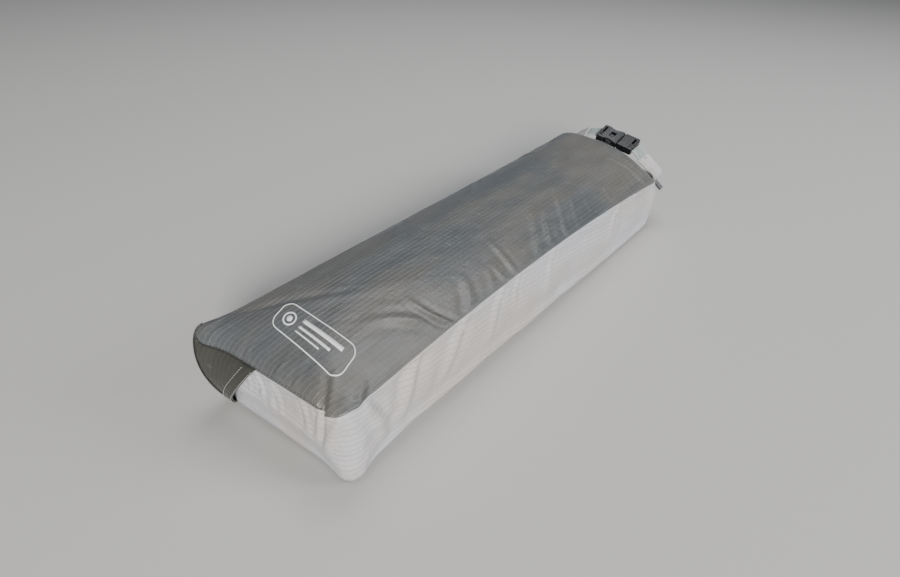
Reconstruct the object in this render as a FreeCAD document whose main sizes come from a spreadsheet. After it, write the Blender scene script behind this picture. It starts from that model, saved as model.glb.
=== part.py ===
import FreeCAD, Part
import math
import os
import Sketcher
from FreeCAD import Placement, Rotation, Vector

# A long boxy roll-top stuff sack lying packed on its broad side.  X is across the sack, Y runs
# from the grab-band end (-Y) to the rolled mouth (+Y), Z is up and the floor is Z = 0.

DIMENSIONS = [
    ("near_end", -252, "Y of the grab-band end of the packed sack"),
    ("far_end", 254, "Y of the mouth end, where the panels meet the rolled collar"),
    ("half_near", 67, "half width at the top seam, near end"),
    ("half_mid", 66, "half width at the top seam, middle"),
    ("half_far", 70, "half width at the top seam, mouth end"),
    ("crown_near", 77, "height of the top panel along its crest, near end"),
    ("crown_mid", 83, "height of the crest, middle"),
    ("crown_far", 88, "height of the crest, mouth end"),
    ("crest_drift", -24, "sideways drift of the crest from the near end to the mouth"),
    ("seam_right_near", 66, "height of the right top seam, near end"),
    ("seam_right_mid", 72, "height of the right top seam, middle"),
    ("seam_right_far", 56, "height of the right top seam, mouth end"),
    ("seam_left_near", 70, "height of the left top seam, near end"),
    ("seam_left_mid", 73, "height of the left top seam, middle"),
    ("seam_left_far", 66, "height of the left top seam, mouth end"),
    ("seam_end", 60, "height of the top seam across the near end"),
    ("tray_height", 7, "height of the bottom panel's turned-up edge"),
    ("tray_half_near", 66, "half width of the bottom panel, near end"),
    ("tray_half_far", 72, "half width of the bottom panel, mouth end"),
    ("tray_round", 5, "rounding of the bottom panel's lower edge"),
    ("tray_inset", 5, "how far the bottom panel's near edge lies behind the near end"),
    ("foot_inset", 9, "how far the load's foot lies inside the bottom panel's edge"),
    ("corner_right", 16, "plan radius of the right near corner"),
    ("corner_left", 9, "plan radius of the left near corner, which is sewn sharper"),
    ("tray_corner", 12, "plan radius of the bottom panel's corners"),
    ("side_longer", 8, "how much longer the left side of the packed sack is than the right"),
    ("far_round", 26, "depth over which the mouth end rounds down to the collar"),
    ("near_round", 45, "depth over which the top panel rounds down at the near end"),
    ("side_bulge", 4, "outward belly of the side strip"),
    ("cloth", 1, "thickness given to every fabric panel"),
    ("collar_height", 48, "height of the mouth line where the collar leaves the sack"),
    ("collar_half", 55, "half length of the straight part of the rolled collar"),
    ("collar_wide", 20, "width of the flat roll, along Y"),
    ("collar_thick", 10, "thickness of the flat roll"),
    ("collar_gap", 8, "from the mouth end of the sack to the roll"),
    ("collar_wall", 3, "thickness of the rolled fabric around the stiffener"),
    ("neck_thick", 4, "thickness of the flattened mouth between sack and roll"),
    ("stiffener_thick", 1.6, "thickness of the stiffener strip inside the roll"),
    ("stiffener_play", 0.3, "play between the stiffener and the roll around it"),
    ("strap_wide", 16, "width of the buckle webbing"),
    ("strap_thick", 1.6, "thickness of the buckle webbing"),
    ("ear_thick", 3.6, "thickness of the folded collar end"),
    ("buckle_x", 4, "centre of the closed buckle"),
    ("buckle_y", 267, "centre of the closed buckle"),
    ("buckle_z", 83.5, "centre of the closed buckle"),
    ("buckle_slope", 9, "slope of the buckle down to the right, degrees"),
    ("buckle_tilt", 16, "tilt of the buckle with its mouth-side edge up, degrees"),
    ("buckle_wide", 25, "width of the side-release buckle"),
    ("buckle_thick", 8.5, "thickness of the buckle"),
    ("socket_left", -24, "left end of the socket, from the buckle's centre"),
    ("socket_right", 4, "open end of the socket, from the buckle's centre"),
    ("cavity_left", -16, "closed end of the socket's cavity"),
    ("cavity_half", 10, "half width of the cavity"),
    ("cavity_high", 5.2, "height of the cavity"),
    ("window_left", -14, "left end of the side windows"),
    ("window_right", -3, "right end of the side windows, the catch shoulder"),
    ("waist_radius", 13, "radius of the finger waist beside each window"),
    ("waist_depth", 2.6, "depth of the finger waist"),
    ("rung", 3, "thickness of the webbing bars"),
    ("slot", 2.6, "length of the webbing slots"),
    ("slot_half", 8.6, "half width of the webbing slots"),
    ("plug_left", 4.4, "shoulder of the plug, from the buckle's centre"),
    ("plug_right", 24, "outer end of the plug"),
    ("guide_left", -13, "tip of the plug's centre guide"),
    ("guide_half", 1.9, "half width of the centre guide"),
    ("prong_high", 4.4, "height of the prongs and of the centre guide"),
    ("prong_pivot_x", 2.4, "where each prong bends, from the buckle's centre"),
    ("prong_pivot_y", 8, "where each prong bends, from the buckle's centre line"),
    ("prong_half", 1.5, "half thickness of a prong's arm"),
    ("head_right", -3.6, "catch face of a prong's head"),
    ("head_out", 12.1, "outermost point of a prong's head"),
    ("band_gap", 8, "gap between the grab band and the end of the sack, at mid height"),
    ("band_left", -63, "left edge of the grab band"),
    ("band_right_top", -13, "right edge of the grab band at its top seam"),
    ("band_right_low", -45, "right edge of the grab band at its bottom seam"),
    ("hem_wide", 10, "width of the band's hems"),
    ("tab_long", 13, "length of the side tab that stands out of the seam"),
    ("tab_wide", 8, "width of the side tab"),
    ("tab_thick", 2.4, "thickness of the folded tab"),
]

document = FreeCAD.newDocument("stuff_sack")
sheet = document.addObject("Spreadsheet::Sheet", "Dimensions")
for row, (alias, value, meaning) in enumerate(DIMENSIONS, start=1):
    sheet.set("A%d" % row, alias)
    sheet.set("B%d" % row, str(value))
    sheet.set("C%d" % row, meaning)
    sheet.setAlias("B%d" % row, alias)
document.recompute()


def size(alias):
    """The value of one cell of the sheet."""
    return float(sheet.get(alias))


# ---------------------------------------------------------------- the form of the packed sack

def three_way(name, along):
    """A smooth curve through the near, mid and far values of a dimension, 0 <= along <= 1."""
    near = size(name + "_near") * 2 * (along - 0.5) * (along - 1)
    middle = size(name + "_mid") * 4 * along * (1 - along)
    far = size(name + "_far") * 2 * along * (along - 0.5)
    return near + middle + far


def fraction(y):
    return (y - size("near_end")) / (size("far_end") - size("near_end"))


def end_depth(y):
    """How far y is into the rounding of the mouth end, from 0 to 1."""
    start = size("far_end") - size("far_round")
    return min(max((y - start) / size("far_round"), 0), 1)


def end_turn(y):
    """How far the surface has turned down at y: 0 on the flat, 90 degrees at the collar."""
    depth = end_depth(y)
    return math.atan2(depth ** 2, (1 - depth ** 3) ** (2 / 3))


def fade(value, target, y):
    """value along the sack, falling to target round the boxy corner of the mouth end."""
    return target + (value - target) * (1 - end_depth(y) ** 3) ** (1 / 3)


def leaned(x, y, z):
    """The point moved along Y, so that the left side of the sack is longer than the right."""
    shift = size("side_longer") / 2 * (x / size("half_mid")) * (y / size("far_end"))
    return x, y - shift, z


def half_width(y):
    return fade(three_way("half", fraction(y)), size("collar_half") + 2, y)


def seam_height(side, y):
    name = "seam_right" if side > 0 else "seam_left"
    full = three_way(name, fraction(y))
    near = math.sin(math.pi / 2 * min((y - size("near_end")) / corner_radius(side), 1))
    full = size("seam_end") + (full - size("seam_end")) * near
    return fade(full, size("collar_height") + 2, y)


def crest(y):
    """The highest point of the top panel at y, as x and z."""
    deep = min((y - size("near_end")) / size("near_round"), 1)
    rise = math.sqrt(max(1 - (1 - deep) ** 2, 0))
    full = three_way("crown", fraction(y))
    high = size("seam_end") + 1 + (full - size("seam_end") - 1) * rise
    return size("crest_drift") * fraction(y), fade(high, size("collar_height") + 4, y)


def corner_radius(side):
    return size("corner_right") if side > 0 else size("corner_left")


def rounding(deep, radius):
    """How much a round corner takes off the half width, deep into the sack from its near end."""
    if deep >= radius:
        return 0
    return radius - math.sqrt(radius ** 2 - (radius - deep) ** 2)


def edge_x(side, y):
    """X of the top panel's edge, with the near corners rounded in plan."""
    return side * (half_width(y) - rounding(y - size("near_end"), corner_radius(side)))


def tray_half(y):
    along = fraction(y)
    return size("tray_half_near") * (1 - along) + size("tray_half_far") * along


def foot_half(y):
    """Half width of the load where it rests on the tray, inside the tray's round corners."""
    deep = y - size("near_end") - size("tray_inset")
    return tray_half(y) - size("foot_inset") - rounding(deep, size("tray_corner"))


def load_floor(y):
    """Height of the load's underside: on the tray, then up behind the turned-up end."""
    rise = size("collar_height") - size("tray_height") - 2
    turned = size("collar_height") - rise * (1 - end_depth(y)) ** 0.5
    behind_tray = y > size("far_end") - size("far_round") - size("tray_inset")
    return turned if behind_tray else size("cloth") + 0.8


# Stations along the sack: depths into the rounding of each end, and the long run between.
NEAR_DEPTHS = (0, 1, 4, 9, 16, 24, 34)
FAR_DEPTHS = (0, 0.3, 0.5, 0.7, 0.85, 0.95, 0.985, 1)
LONG_RUN = 435
LONG_STEPS = 9
CORNER_STEPS = 4
BAND_STEPS = 6
EAR_STEPS = 16
STRAP_STEPS = 5

# Small clearances and allowances between neighbouring pieces.
SEAM_ALLOWANCE = 0.3
SEAM_DROP = 1.4
BINDING_STAND_OFF = 0.9
HEM_STAND_OFF = 0.6
BAND_STAND_OFF = 2.3
FOOT_LAG = 4
LOAD_DEEP = 5
LOAD_SIDE = 3.5
LOAD_FOOT_SIDE = 7
END_CROWN = 1.5
FULL_HEIGHT = 40

# The folded collar ends: X and Z of the bends, of the sewn webbing end and of the buckle's bar.
RIGHT_BENDS = [(62, 51.5), (61, 60), (52, 67.5)]
LEFT_BENDS = [(-62.5, 52), (-58, 66), (-47, 77)]
RIGHT_WEBBING = [(40, 73), (28.3, 79.5)]
LEFT_WEBBING = [(-35, 84), (-20.4, 87.4)]

# Bar tacks: their places on the band as shares of its width and height, and their size.
TACK_PLACES = [(0.12, 0.04), (0.88, 0.04), (0.12, 0.96), (0.88, 0.96)]
TACK_SIZE = (6, 0.8, 1.6)


# ------------------------------------------------------------------------- shape helpers

def strip_section(points, inward):
    """A thin closed outline: an arc through three points, and the same arc moved inward."""
    outer = [Vector(*point) for point in points]
    inner = [point + Vector(*inward) * size("cloth") for point in outer]
    edges = [
        Part.Arc(*outer).toShape(),
        Part.makeLine(outer[2], inner[2]),
        Part.Arc(inner[2], inner[1], inner[0]).toShape(),
        Part.makeLine(inner[0], outer[0]),
    ]
    return Part.Wire(edges)


def loft(sections):
    """A solid through closed outlines: ruled faces from each outline to the next, and two ends."""
    faces = [Part.Face(sections[0]), Part.Face(sections[-1])]
    for first, second in zip(sections, sections[1:]):
        faces += [Part.makeRuledSurface(*pair) for pair in zip(first.Edges, second.Edges)]
    shell = Part.Shell(faces)
    shell.sewShape()
    solid = Part.Solid(shell)
    if solid.Volume < 0:
        solid.reverse()
    return solid


def add_shape(label, shape, placement=Placement()):
    """A sub-part whose shape is worked out here from the sheet's sizes."""
    piece = document.addObject("Part::Feature", label)
    piece.Label = label
    piece.Shape = shape
    piece.Placement = placement
    return piece


def add_box(name, low, high):
    """A Part::Box whose corners are formulas of the sheet's cells, one per axis."""
    box = document.addObject("Part::Box", name)
    for axis, length, start, stop in zip("xyz", ("Length", "Width", "Height"), low, high):
        box.setExpression("Placement.Base." + axis, expression(start))
        box.setExpression(length, "(%s) - (%s)" % (expression(stop), expression(start)))
    return box


def expression(text):
    """Turn words that are cell names into references to the sheet."""
    words = str(text).replace("(", " ( ").replace(")", " ) ").split()
    aliases = {alias for alias, value, meaning in DIMENSIONS}
    return " ".join("Dimensions." + word if word in aliases else word for word in words)


def add_cylinder(name, x, y, low, high, radius):
    """An upright Part::Cylinder whose centre, ends and radius are formulas of the cells."""
    cylinder = document.addObject("Part::Cylinder", name)
    cylinder.setExpression("Placement.Base.x", expression(x))
    cylinder.setExpression("Placement.Base.y", expression(y))
    cylinder.setExpression("Placement.Base.z", expression(low))
    cylinder.setExpression("Height", "(%s) - (%s)" % (expression(high), expression(low)))
    cylinder.setExpression("Radius", expression(radius))
    return cylinder


def fuse(name, shapes):
    joined = document.addObject("Part::MultiFuse", name)
    joined.Shapes = shapes
    joined.Refine = True
    return joined


def cut(label, base, tools):
    """base without the tools, as a sub-part with its own label."""
    removed = fuse(label + "_tools", tools) if len(tools) > 1 else tools[0]
    result = document.addObject("Part::Cut", label)
    result.Base = base
    result.Tool = removed
    result.Label = label
    return result


def rounded(label, base, radius, wanted):
    """A Part::Fillet on the edges of base that wanted(edge) picks."""
    document.recompute()
    picked = [i for i, edge in enumerate(base.Shape.Edges, start=1) if wanted(edge)]
    fillet = document.addObject("Part::Fillet", label)
    fillet.Base = base
    fillet.Edges = [(index, radius, radius) for index in picked]
    fillet.Label = label
    return fillet


def runs_along(edge, axis):
    """Whether a straight edge runs along one axis, 0 for X, 1 for Y, 2 for Z."""
    if not isinstance(edge.Curve, Part.Line):
        return False
    return abs(edge.Curve.Direction[axis]) > 0.999


# ------------------------------------------------------------------------------- panels

def long_stations():
    """Y of the stations along the long middle run."""
    start = size("near_end") + size("near_round")
    return [start + LONG_RUN * step / LONG_STEPS for step in range(LONG_STEPS)]


def top_panel():
    """The broad dark top panel, from the near end seam over the crest down to the collar."""
    near, far = size("near_end"), size("far_end")
    stations = [near + deep for deep in NEAR_DEPTHS]
    stations += long_stations()
    stations += [far - size("far_round") * (1 - depth) for depth in FAR_DEPTHS]
    sections = []
    for y in stations:
        crest_x, crest_z = crest(y)
        turned = end_turn(y)
        near_turn = math.pi / 3 * max(1 - (y - near) / size("near_round"), 0)
        inward = (0, math.sin(near_turn) - math.sin(turned), -math.cos(near_turn) * math.cos(turned))
        left = leaned(edge_x(-1, y) + SEAM_ALLOWANCE, y, seam_height(-1, y))
        right = leaned(edge_x(1, y) - SEAM_ALLOWANCE, y, seam_height(1, y))
        middle = Vector(*leaned(crest_x, y, crest_z))
        if y in (stations[0], stations[-1]):
            middle = (Vector(*left) + Vector(*right)) / 2 - Vector(*inward) * END_CROWN
        sections.append(strip_section([left, middle, right], inward))
    return add_shape("top_panel", loft(sections))


def side_stations(side):
    """Stations along one side from the mouth to the near end: outward direction, top and low point."""
    near, radius = size("near_end"), corner_radius(side)
    straight = [size("far_end") - size("far_round") * (1 - depth) for depth in reversed(FAR_DEPTHS)]
    straight += long_stations()[::-1]
    low_z = size("tray_height") + SEAM_ALLOWANCE
    stations = []
    for y in straight:
        turn = end_turn(y)
        top = (side * half_width(y), y, seam_height(side, y) - SEAM_DROP)
        low_half = fade(tray_half(y) - 0.5, size("collar_half") + 1, y)
        low = (side * low_half, y, fade(low_z, size("collar_height") - 4, y))
        stations.append(((side * math.cos(turn), math.sin(turn)), top, low))
    for step in range(CORNER_STEPS + 1):
        angle = math.pi / 2 * step / CORNER_STEPS
        outward = (side * math.cos(angle), -math.sin(angle))
        y = near + radius + radius * outward[1]
        top_x = edge_x(side, y) if step else side * size("half_near")
        low_x = side * (size("tray_half_near") - 0.5 - radius) + radius * outward[0]
        stations.append((outward, (top_x, y, seam_height(side, y) - SEAM_DROP), (low_x, y + FOOT_LAG, low_z)))
    return [(outward, leaned(*top), leaned(*low)) for outward, top, low in stations]


def gusset_path():
    """Stations round the sack, from the mouth along the right side, the near end and the left side."""
    return side_stations(1) + side_stations(-1)[::-1]


def side_gusset():
    """The light strip that runs up one side, round the near end and back along the other."""
    sections = []
    for outward, top, low in gusset_path():
        bulge = size("side_bulge") * min((top[2] - low[2]) / FULL_HEIGHT, 1) + SEAM_ALLOWANCE
        middle = [(a + b) / 2 + out * bulge for a, b, out in zip(top, low, (*outward, 0))]
        sections.append(strip_section([top, middle, low], (-outward[0], -outward[1], 0)))
    return add_shape("side_gusset", loft(sections))


def seam_binding(label, upper, drop, height):
    """A narrow tape outside the strip, along its top seam or its bottom seam."""
    sections = []
    for outward, top, low in gusset_path():
        edge = Vector(*(top if upper else low))
        out = Vector(*outward, 0)
        high = edge + out * (size("cloth") + BINDING_STAND_OFF) - Vector(0, 0, drop)
        foot = high - Vector(0, 0, height)
        middle = (high + foot) / 2 + out * SEAM_ALLOWANCE
        sections.append(strip_section([high, middle, foot], tuple(-out * BINDING_STAND_OFF)))
    return add_shape(label, loft(sections))


def bottom_tray():
    """The flat of the bottom panel, with its edge turned up to the bottom seam."""
    body = document.addObject("PartDesign::Body", "bottom_tray")
    sketch = body.newObject("Sketcher::SketchObject", "bottom_outline")
    plane = [feature for feature in body.Origin.OriginFeatures if feature.Role == "XY_Plane"]
    sketch.AttachmentSupport = [(plane[0], "")]
    sketch.MapMode = "FlatFace"
    near, far = "near_end + tray_inset", "far_end - far_round + 4"
    skew = "side_longer / 2"
    corners = [
        ("0 - tray_half_near", near + " - " + skew), ("tray_half_near", near + " + " + skew),
        ("tray_half_far", far + " - " + skew), ("0 - tray_half_far", far + " + " + skew),
    ]
    guesses = [(-60, -240), (60, -240), (70, 230), (-70, 230)]
    for index, guess in enumerate(guesses):
        following = guesses[(index + 1) % 4]
        sketch.addGeometry(Part.LineSegment(Vector(*guess, 0), Vector(*following, 0)), False)
    for index in range(4):
        sketch.addConstraint(Sketcher.Constraint("Coincident", index, 2, (index + 1) % 4, 1))
    for index, (x, y) in enumerate(corners):
        across = sketch.addConstraint(Sketcher.Constraint("DistanceX", -1, 1, index, 1, guesses[index][0]))
        along = sketch.addConstraint(Sketcher.Constraint("DistanceY", -1, 1, index, 1, guesses[index][1]))
        sketch.setExpression("Constraints[%d]" % across, expression(x))
        sketch.setExpression("Constraints[%d]" % along, expression(y))
    pad = body.newObject("PartDesign::Pad", "bottom_pad")
    pad.Profile = sketch
    pad.setExpression("Length", expression("tray_height"))
    document.recompute()
    body.Tip = pad
    upright = ["Edge%d" % i for i, edge in enumerate(pad.Shape.Edges, start=1) if runs_along(edge, 2)]
    corners_round = body.newObject("PartDesign::Fillet", "bottom_corners")
    corners_round.Base = (pad, upright)
    corners_round.setExpression("Radius", expression("tray_corner"))
    document.recompute()
    floor_edges = [
        "Edge%d" % i for i, edge in enumerate(corners_round.Shape.Edges, start=1)
        if edge.BoundBox.ZMax < 0.01
    ]
    floor_round = body.newObject("PartDesign::Fillet", "bottom_round")
    floor_round.Base = (corners_round, floor_edges)
    floor_round.setExpression("Radius", expression("tray_round"))
    document.recompute()
    heights = [face.CenterOfMass.z for face in floor_round.Shape.Faces]
    top_face = heights.index(max(heights))
    hollow = body.newObject("PartDesign::Thickness", "bottom_hollow")
    hollow.Base = (floor_round, ["Face%d" % (top_face + 1)])
    hollow.setExpression("Value", expression("cloth"))
    hollow.Reversed = True
    body.Tip = hollow
    return body


def bottom_panel():
    """The bottom panel: its flat tray, and its mouth end turned up to the collar."""
    sections = []
    for depth in (0.1,) + FAR_DEPTHS[1:]:
        y = size("far_end") - size("far_round") * (1 - depth) + 1.2
        height = size("collar_height") - 8
        z = height - (height - size("tray_height") + 2) * (1 - depth ** 3) ** (1 / 3)
        half = fade(size("tray_half_far") - 3, size("collar_half") - 1, y - 1.2)
        turn = end_turn(y - 1.2)
        inward = (0, -math.sin(turn), math.cos(turn))
        left, right = leaned(-half, y, z), leaned(half, y, z)
        middle = (Vector(*left) + Vector(*right)) / 2 - Vector(*inward) * END_CROWN
        sections.append(strip_section([left, middle, right], inward))
    turned_up = add_shape("bottom_turned_up", loft(sections))
    panel = fuse("bottom_panel", [bottom_tray(), turned_up])
    panel.Label = "bottom_panel"
    return panel


def packed_load():
    """The soft bundle that fills the sack, a little inside every panel."""
    near, far = size("near_end"), size("far_end")
    stations = [near + deep for deep in (10, 13, 17, 24, 36)]
    stations += long_stations()
    stations += [far - size("far_round") * (1 - depth) for depth in (-0.25, -0.05, 0.2, 0.4, 0.6)]
    sections = []
    for y in stations:
        crest_x, crest_z = crest(y)
        bottom = load_floor(y)
        belly_out = LOAD_SIDE * min((y - near) / size("near_round"), 1)
        foot = [side * min(abs(edge_x(side, y)) - LOAD_FOOT_SIDE, foot_half(y)) for side in (-1, 1)]
        shoulder = [edge_x(side, y) - LOAD_SIDE * side for side in (-1, 1)]
        top_z = [seam_height(side, y) - LOAD_DEEP for side in (-1, 1)]
        left_foot, right_foot = [Vector(*leaned(x, y, bottom)) for x in foot]
        left_top, right_top = [Vector(*leaned(x, y, z)) for x, z in zip(shoulder, top_z)]
        left_belly, right_belly = [
            Vector(*leaned(x + side * belly_out, y, (z + bottom) / 2))
            for x, z, side in zip(shoulder, top_z, (-1, 1))
        ]
        edges = [
            Part.makeLine(left_foot, right_foot),
            Part.Arc(right_foot, right_belly, right_top).toShape(),
            Part.Arc(right_top, Vector(*leaned(crest_x, y, crest_z - LOAD_DEEP)), left_top).toShape(),
            Part.Arc(left_top, left_belly, left_foot).toShape(),
        ]
        sections.append(Part.Wire(edges))
    return add_shape("packed_load", loft(sections))


# --------------------------------------------------------------------------- grab band

def band_point(share, height):
    """A point of the grab band: share across it from left to right, height 0 low to 1 high."""
    right = size("band_right_low") + (size("band_right_top") - size("band_right_low")) * height
    x = size("band_left") + (right - size("band_left")) * share
    low, high = size("tray_height") + 3, size("seam_end") - 4.5
    stand_off = BAND_STAND_OFF + size("band_gap") * math.sin(math.pi * height) ** 0.7
    y = size("near_end") - size("side_bulge") * math.sin(math.pi * height) - stand_off
    y += FOOT_LAG * (1 - height)
    return Vector(*leaned(x, y, low + (high - low) * height))


def band_strip(label, first, last, out):
    """Part of the grab band between two shares of its width, moved out by a small distance."""
    sections = []
    for step in range(BAND_STEPS + 1):
        height = step / BAND_STEPS
        left = band_point(first, height) - Vector(0, out, 0)
        right = band_point(last, height) - Vector(0, out, 0)
        middle = (left + right) / 2 - Vector(0, 0.4 * (last - first), 0)
        sections.append(strip_section([left, middle, right], (0, 1, 0)))
    return add_shape(label, loft(sections))


def hem_share():
    """The share of the band's width that one hem takes, at the band's mean width."""
    width = (size("band_right_low") + size("band_right_top")) / 2 - size("band_left")
    return size("hem_wide") / width


# ----------------------------------------------------------------------- rolled closure

def collar_centre():
    return size("far_end") + size("collar_gap") + size("collar_wide") / 2


def rolled_collar():
    """The mouth rolled up flat: a stadium section with a slot for the stiffener."""
    roll_low = "collar_height - collar_thick / 2"
    roll_high = "collar_height + collar_thick / 2"
    front = "far_end + collar_gap"
    back = "far_end + collar_gap + collar_wide"
    block = add_box("collar_block", ("0 - collar_half", front, roll_low), ("collar_half", back, roll_high))
    rounded_block = rounded(
        "collar_round", block, size("collar_thick") / 2 - 0.05, lambda edge: runs_along(edge, 0)
    )
    half_open = "(stiffener_thick / 2 + stiffener_play)"
    slot = add_box(
        "collar_slot",
        ("0 - collar_half - 1", front + " + collar_wall", "collar_height - " + half_open),
        ("collar_half + 1", back + " - collar_wall", "collar_height + " + half_open),
    )
    return cut("rolled_collar", rounded_block, [slot])


def mouth_stiffener():
    """The springy strip sewn into the mouth, in the middle of the roll."""
    front = "far_end + collar_gap + collar_wall + stiffener_play"
    back = "far_end + collar_gap + collar_wide - collar_wall - stiffener_play"
    strip = add_box(
        "mouth_stiffener",
        ("0 - collar_half + 1", front, "collar_height - stiffener_thick / 2"),
        ("collar_half - 1", back, "collar_height + stiffener_thick / 2"),
    )
    strip.Label = "mouth_stiffener"
    return strip


def mouth_neck():
    """The flattened mouth between the panels and the roll."""
    neck = add_box(
        "mouth_neck",
        ("2 - collar_half", "far_end - 3", "collar_height - neck_thick / 2"),
        ("collar_half - 2", "far_end + collar_gap - 2.6", "collar_height + neck_thick / 2"),
    )
    neck.Label = "mouth_neck"
    return neck


def ribbon(label, points, wide, thick, first_tilt, last_tilt, steps):
    """A flat band along a smooth curve in the X-Z plane, twisting from one tilt to another."""
    curve = Part.BSplineCurve()
    curve.interpolate([Vector(*point) for point in points])
    sections = []
    for step in range(steps + 1):
        share = step / steps
        parameter = curve.FirstParameter + (curve.LastParameter - curve.FirstParameter) * share
        place = curve.value(parameter)
        tangent = curve.tangent(parameter)[0]
        heading = Vector(tangent.x, 0, tangent.z).normalize()
        tilt = math.radians(first_tilt + (last_tilt - first_tilt) * share)
        flat_up = heading.cross(Vector(0, 1, 0))
        across = Vector(0, math.cos(tilt), 0) + flat_up * math.sin(tilt)
        normal = flat_up * math.cos(tilt) - Vector(0, math.sin(tilt), 0)
        half_w, half_t = across * (wide / 2), normal * (thick / 2)
        corners = [place - half_w - half_t, place + half_w - half_t, place + half_w + half_t,
                   place - half_w + half_t]
        sections.append(Part.makePolygon(corners + corners[:1]))
    return add_shape(label, loft(sections))


def buckle_placement():
    slope = Rotation(Vector(0, 1, 0), size("buckle_slope"))
    tilt = Rotation(Vector(1, 0, 0), size("buckle_tilt"))
    centre = Vector(size("buckle_x"), size("buckle_y"), size("buckle_z"))
    return Placement(centre, slope.multiply(tilt))


def closure_end(side, ear_bend, ear_top, buckle_end):
    """The folded collar end on one side, and the webbing from it to the buckle's bar."""
    name = "right" if side > 0 else "left"
    middle_y, buckle_y = collar_centre(), size("buckle_y")
    roll_end = (side * (size("collar_half") + 0.4), size("collar_height") - 0.6)
    path = [roll_end] + ear_bend + [ear_top]
    steps = len(path) - 1
    path = [(x, middle_y + (buckle_y - middle_y) * i / steps, z) for i, (x, z) in enumerate(path)]
    tilt = -side * size("buckle_tilt")
    ear = ribbon("ear_" + name, path, size("collar_wide") - 2, size("ear_thick"), 0, tilt, EAR_STEPS)
    run = Vector(buckle_end[0] - ear_top[0], 0, buckle_end[1] - ear_top[1])
    run.normalize()
    run *= SEAM_ALLOWANCE
    start = (ear_top[0] + run.x, buckle_y, ear_top[1] + run.z)
    end = (buckle_end[0], buckle_y, buckle_end[1])
    middle = ((start[0] + end[0]) / 2, buckle_y, (start[2] + end[2]) / 2 + 0.6)
    wide, thick = size("strap_wide"), size("strap_thick")
    strap = ribbon("strap_" + name, [start, middle, end], wide, thick, tilt, tilt, STRAP_STEPS)
    return ear, strap


# ------------------------------------------------------------------- side-release buckle

def buckle_socket():
    """The socket: a flat box with a cavity, two side windows, a finger waist and a webbing bar."""
    thick, wide = "buckle_thick / 2", "buckle_wide / 2"
    low, high = ("socket_left", "0 - " + wide, "0 - " + thick), ("socket_right", wide, thick)
    block = add_box("socket_block", low, high)
    block_round = rounded("socket_round", block, 2.2, lambda edge: runs_along(edge, 2))
    soft_block = rounded("socket_soft", block_round, 1.2, lambda edge: not runs_along(edge, 2))
    tools = [
        add_box("socket_cavity", ("cavity_left", "0 - cavity_half", "0 - cavity_high / 2"),
                ("socket_right + 1", "cavity_half", "cavity_high / 2")),
        add_box("socket_windows", ("window_left", "0 - buckle_wide", "0 - cavity_high / 2"),
                ("window_right", "buckle_wide", "cavity_high / 2")),
        add_box("socket_slot", ("socket_left + rung", "0 - slot_half", "0 - buckle_thick"),
                ("socket_left + rung + slot", "slot_half", "buckle_thick")),
        add_box("socket_arch", ("window_left + 3", "0 - 4.5", "cavity_high / 2 - 1"),
                ("window_right - 1", "4.5", "buckle_thick")),
    ]
    for sign, suffix in (("", "back"), ("0 - ", "front")):
        centre_y = sign + "( buckle_wide / 2 + waist_radius - waist_depth )"
        tools.append(add_cylinder("socket_waist_" + suffix, "( window_left + window_right ) / 2", centre_y,
                                  "0 - buckle_thick", "buckle_thick", "waist_radius"))
    return cut("buckle_socket", soft_block, tools)


def buckle_plug():
    """The plug: a ladder frame with a webbing bar, and the guide that enters the socket."""
    thick, wide = "buckle_thick / 2", "buckle_wide / 2"
    block = add_box("plug_block", ("plug_left", "0 - " + wide, "0 - " + thick), ("plug_right", wide, thick))
    block_round = rounded("plug_round", block, 2.2, lambda edge: runs_along(edge, 2))
    soft_block = rounded("plug_soft", block_round, 1.2, lambda edge: not runs_along(edge, 2))
    guide = add_box("plug_guide", ("guide_left", "0 - guide_half", "0 - prong_high / 2"),
                    ("plug_left + 1", "guide_half", "prong_high / 2"))
    body = fuse("plug_body", [soft_block, guide])
    slot = add_box("plug_slot", ("plug_right - rung - slot", "0 - slot_half", "0 - buckle_thick"),
                   ("plug_right - rung", "slot_half", "buckle_thick"))
    return cut("buckle_plug", body, [slot])


def prong(label, side):
    """One springy prong: an arm that bends at its root, and a head that fills the side window."""
    high = "prong_high / 2"
    if side > 0:
        low_y, high_y = "prong_pivot_y - prong_half", "prong_pivot_y + prong_half"
        head_low, head_high = "prong_pivot_y - prong_half", "head_out"
    else:
        low_y, high_y = "0 - prong_pivot_y - prong_half", "0 - prong_pivot_y + prong_half"
        head_low, head_high = "0 - head_out", "prong_half - prong_pivot_y"
    arm = add_box(label + "_arm", ("guide_left", low_y, "0 - " + high), ("prong_pivot_x", high_y, high))
    head = add_box(label + "_head", ("guide_left", head_low, "0 - " + high), ("head_right", head_high, high))
    pivot_y = "prong_pivot_y" if side > 0 else "0 - prong_pivot_y"
    root = add_cylinder(label + "_root", "prong_pivot_x", pivot_y, "0 - " + high, high, "prong_half")
    whole = fuse(label + "_whole", [arm, head, root])

    def tip(edge):
        middle = edge.CenterOfMass
        outer = abs(middle.y) > size("head_out") - 0.01
        return runs_along(edge, 2) and outer and middle.x < size("guide_left") + 0.01
    return rounded(label, whole, 3.5, tip)


# --------------------------------------------------------------------------- side tab

def side_tab():
    """A folded tab of webbing sewn into the right corner beside the mouth."""
    x, y, z = size("collar_half") + 7.5, size("far_end") - 1.9, size("collar_height") + 2.5
    tab = document.addObject("Part::Box", "side_tab")
    tab.Label = "side_tab"
    tab.setExpression("Length", expression("tab_long"))
    tab.setExpression("Width", expression("tab_wide"))
    tab.setExpression("Height", expression("tab_thick"))
    tab.Placement = Placement(Vector(x, y, z), Rotation(Vector(0, 1, 0), 35))
    return tab


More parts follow.
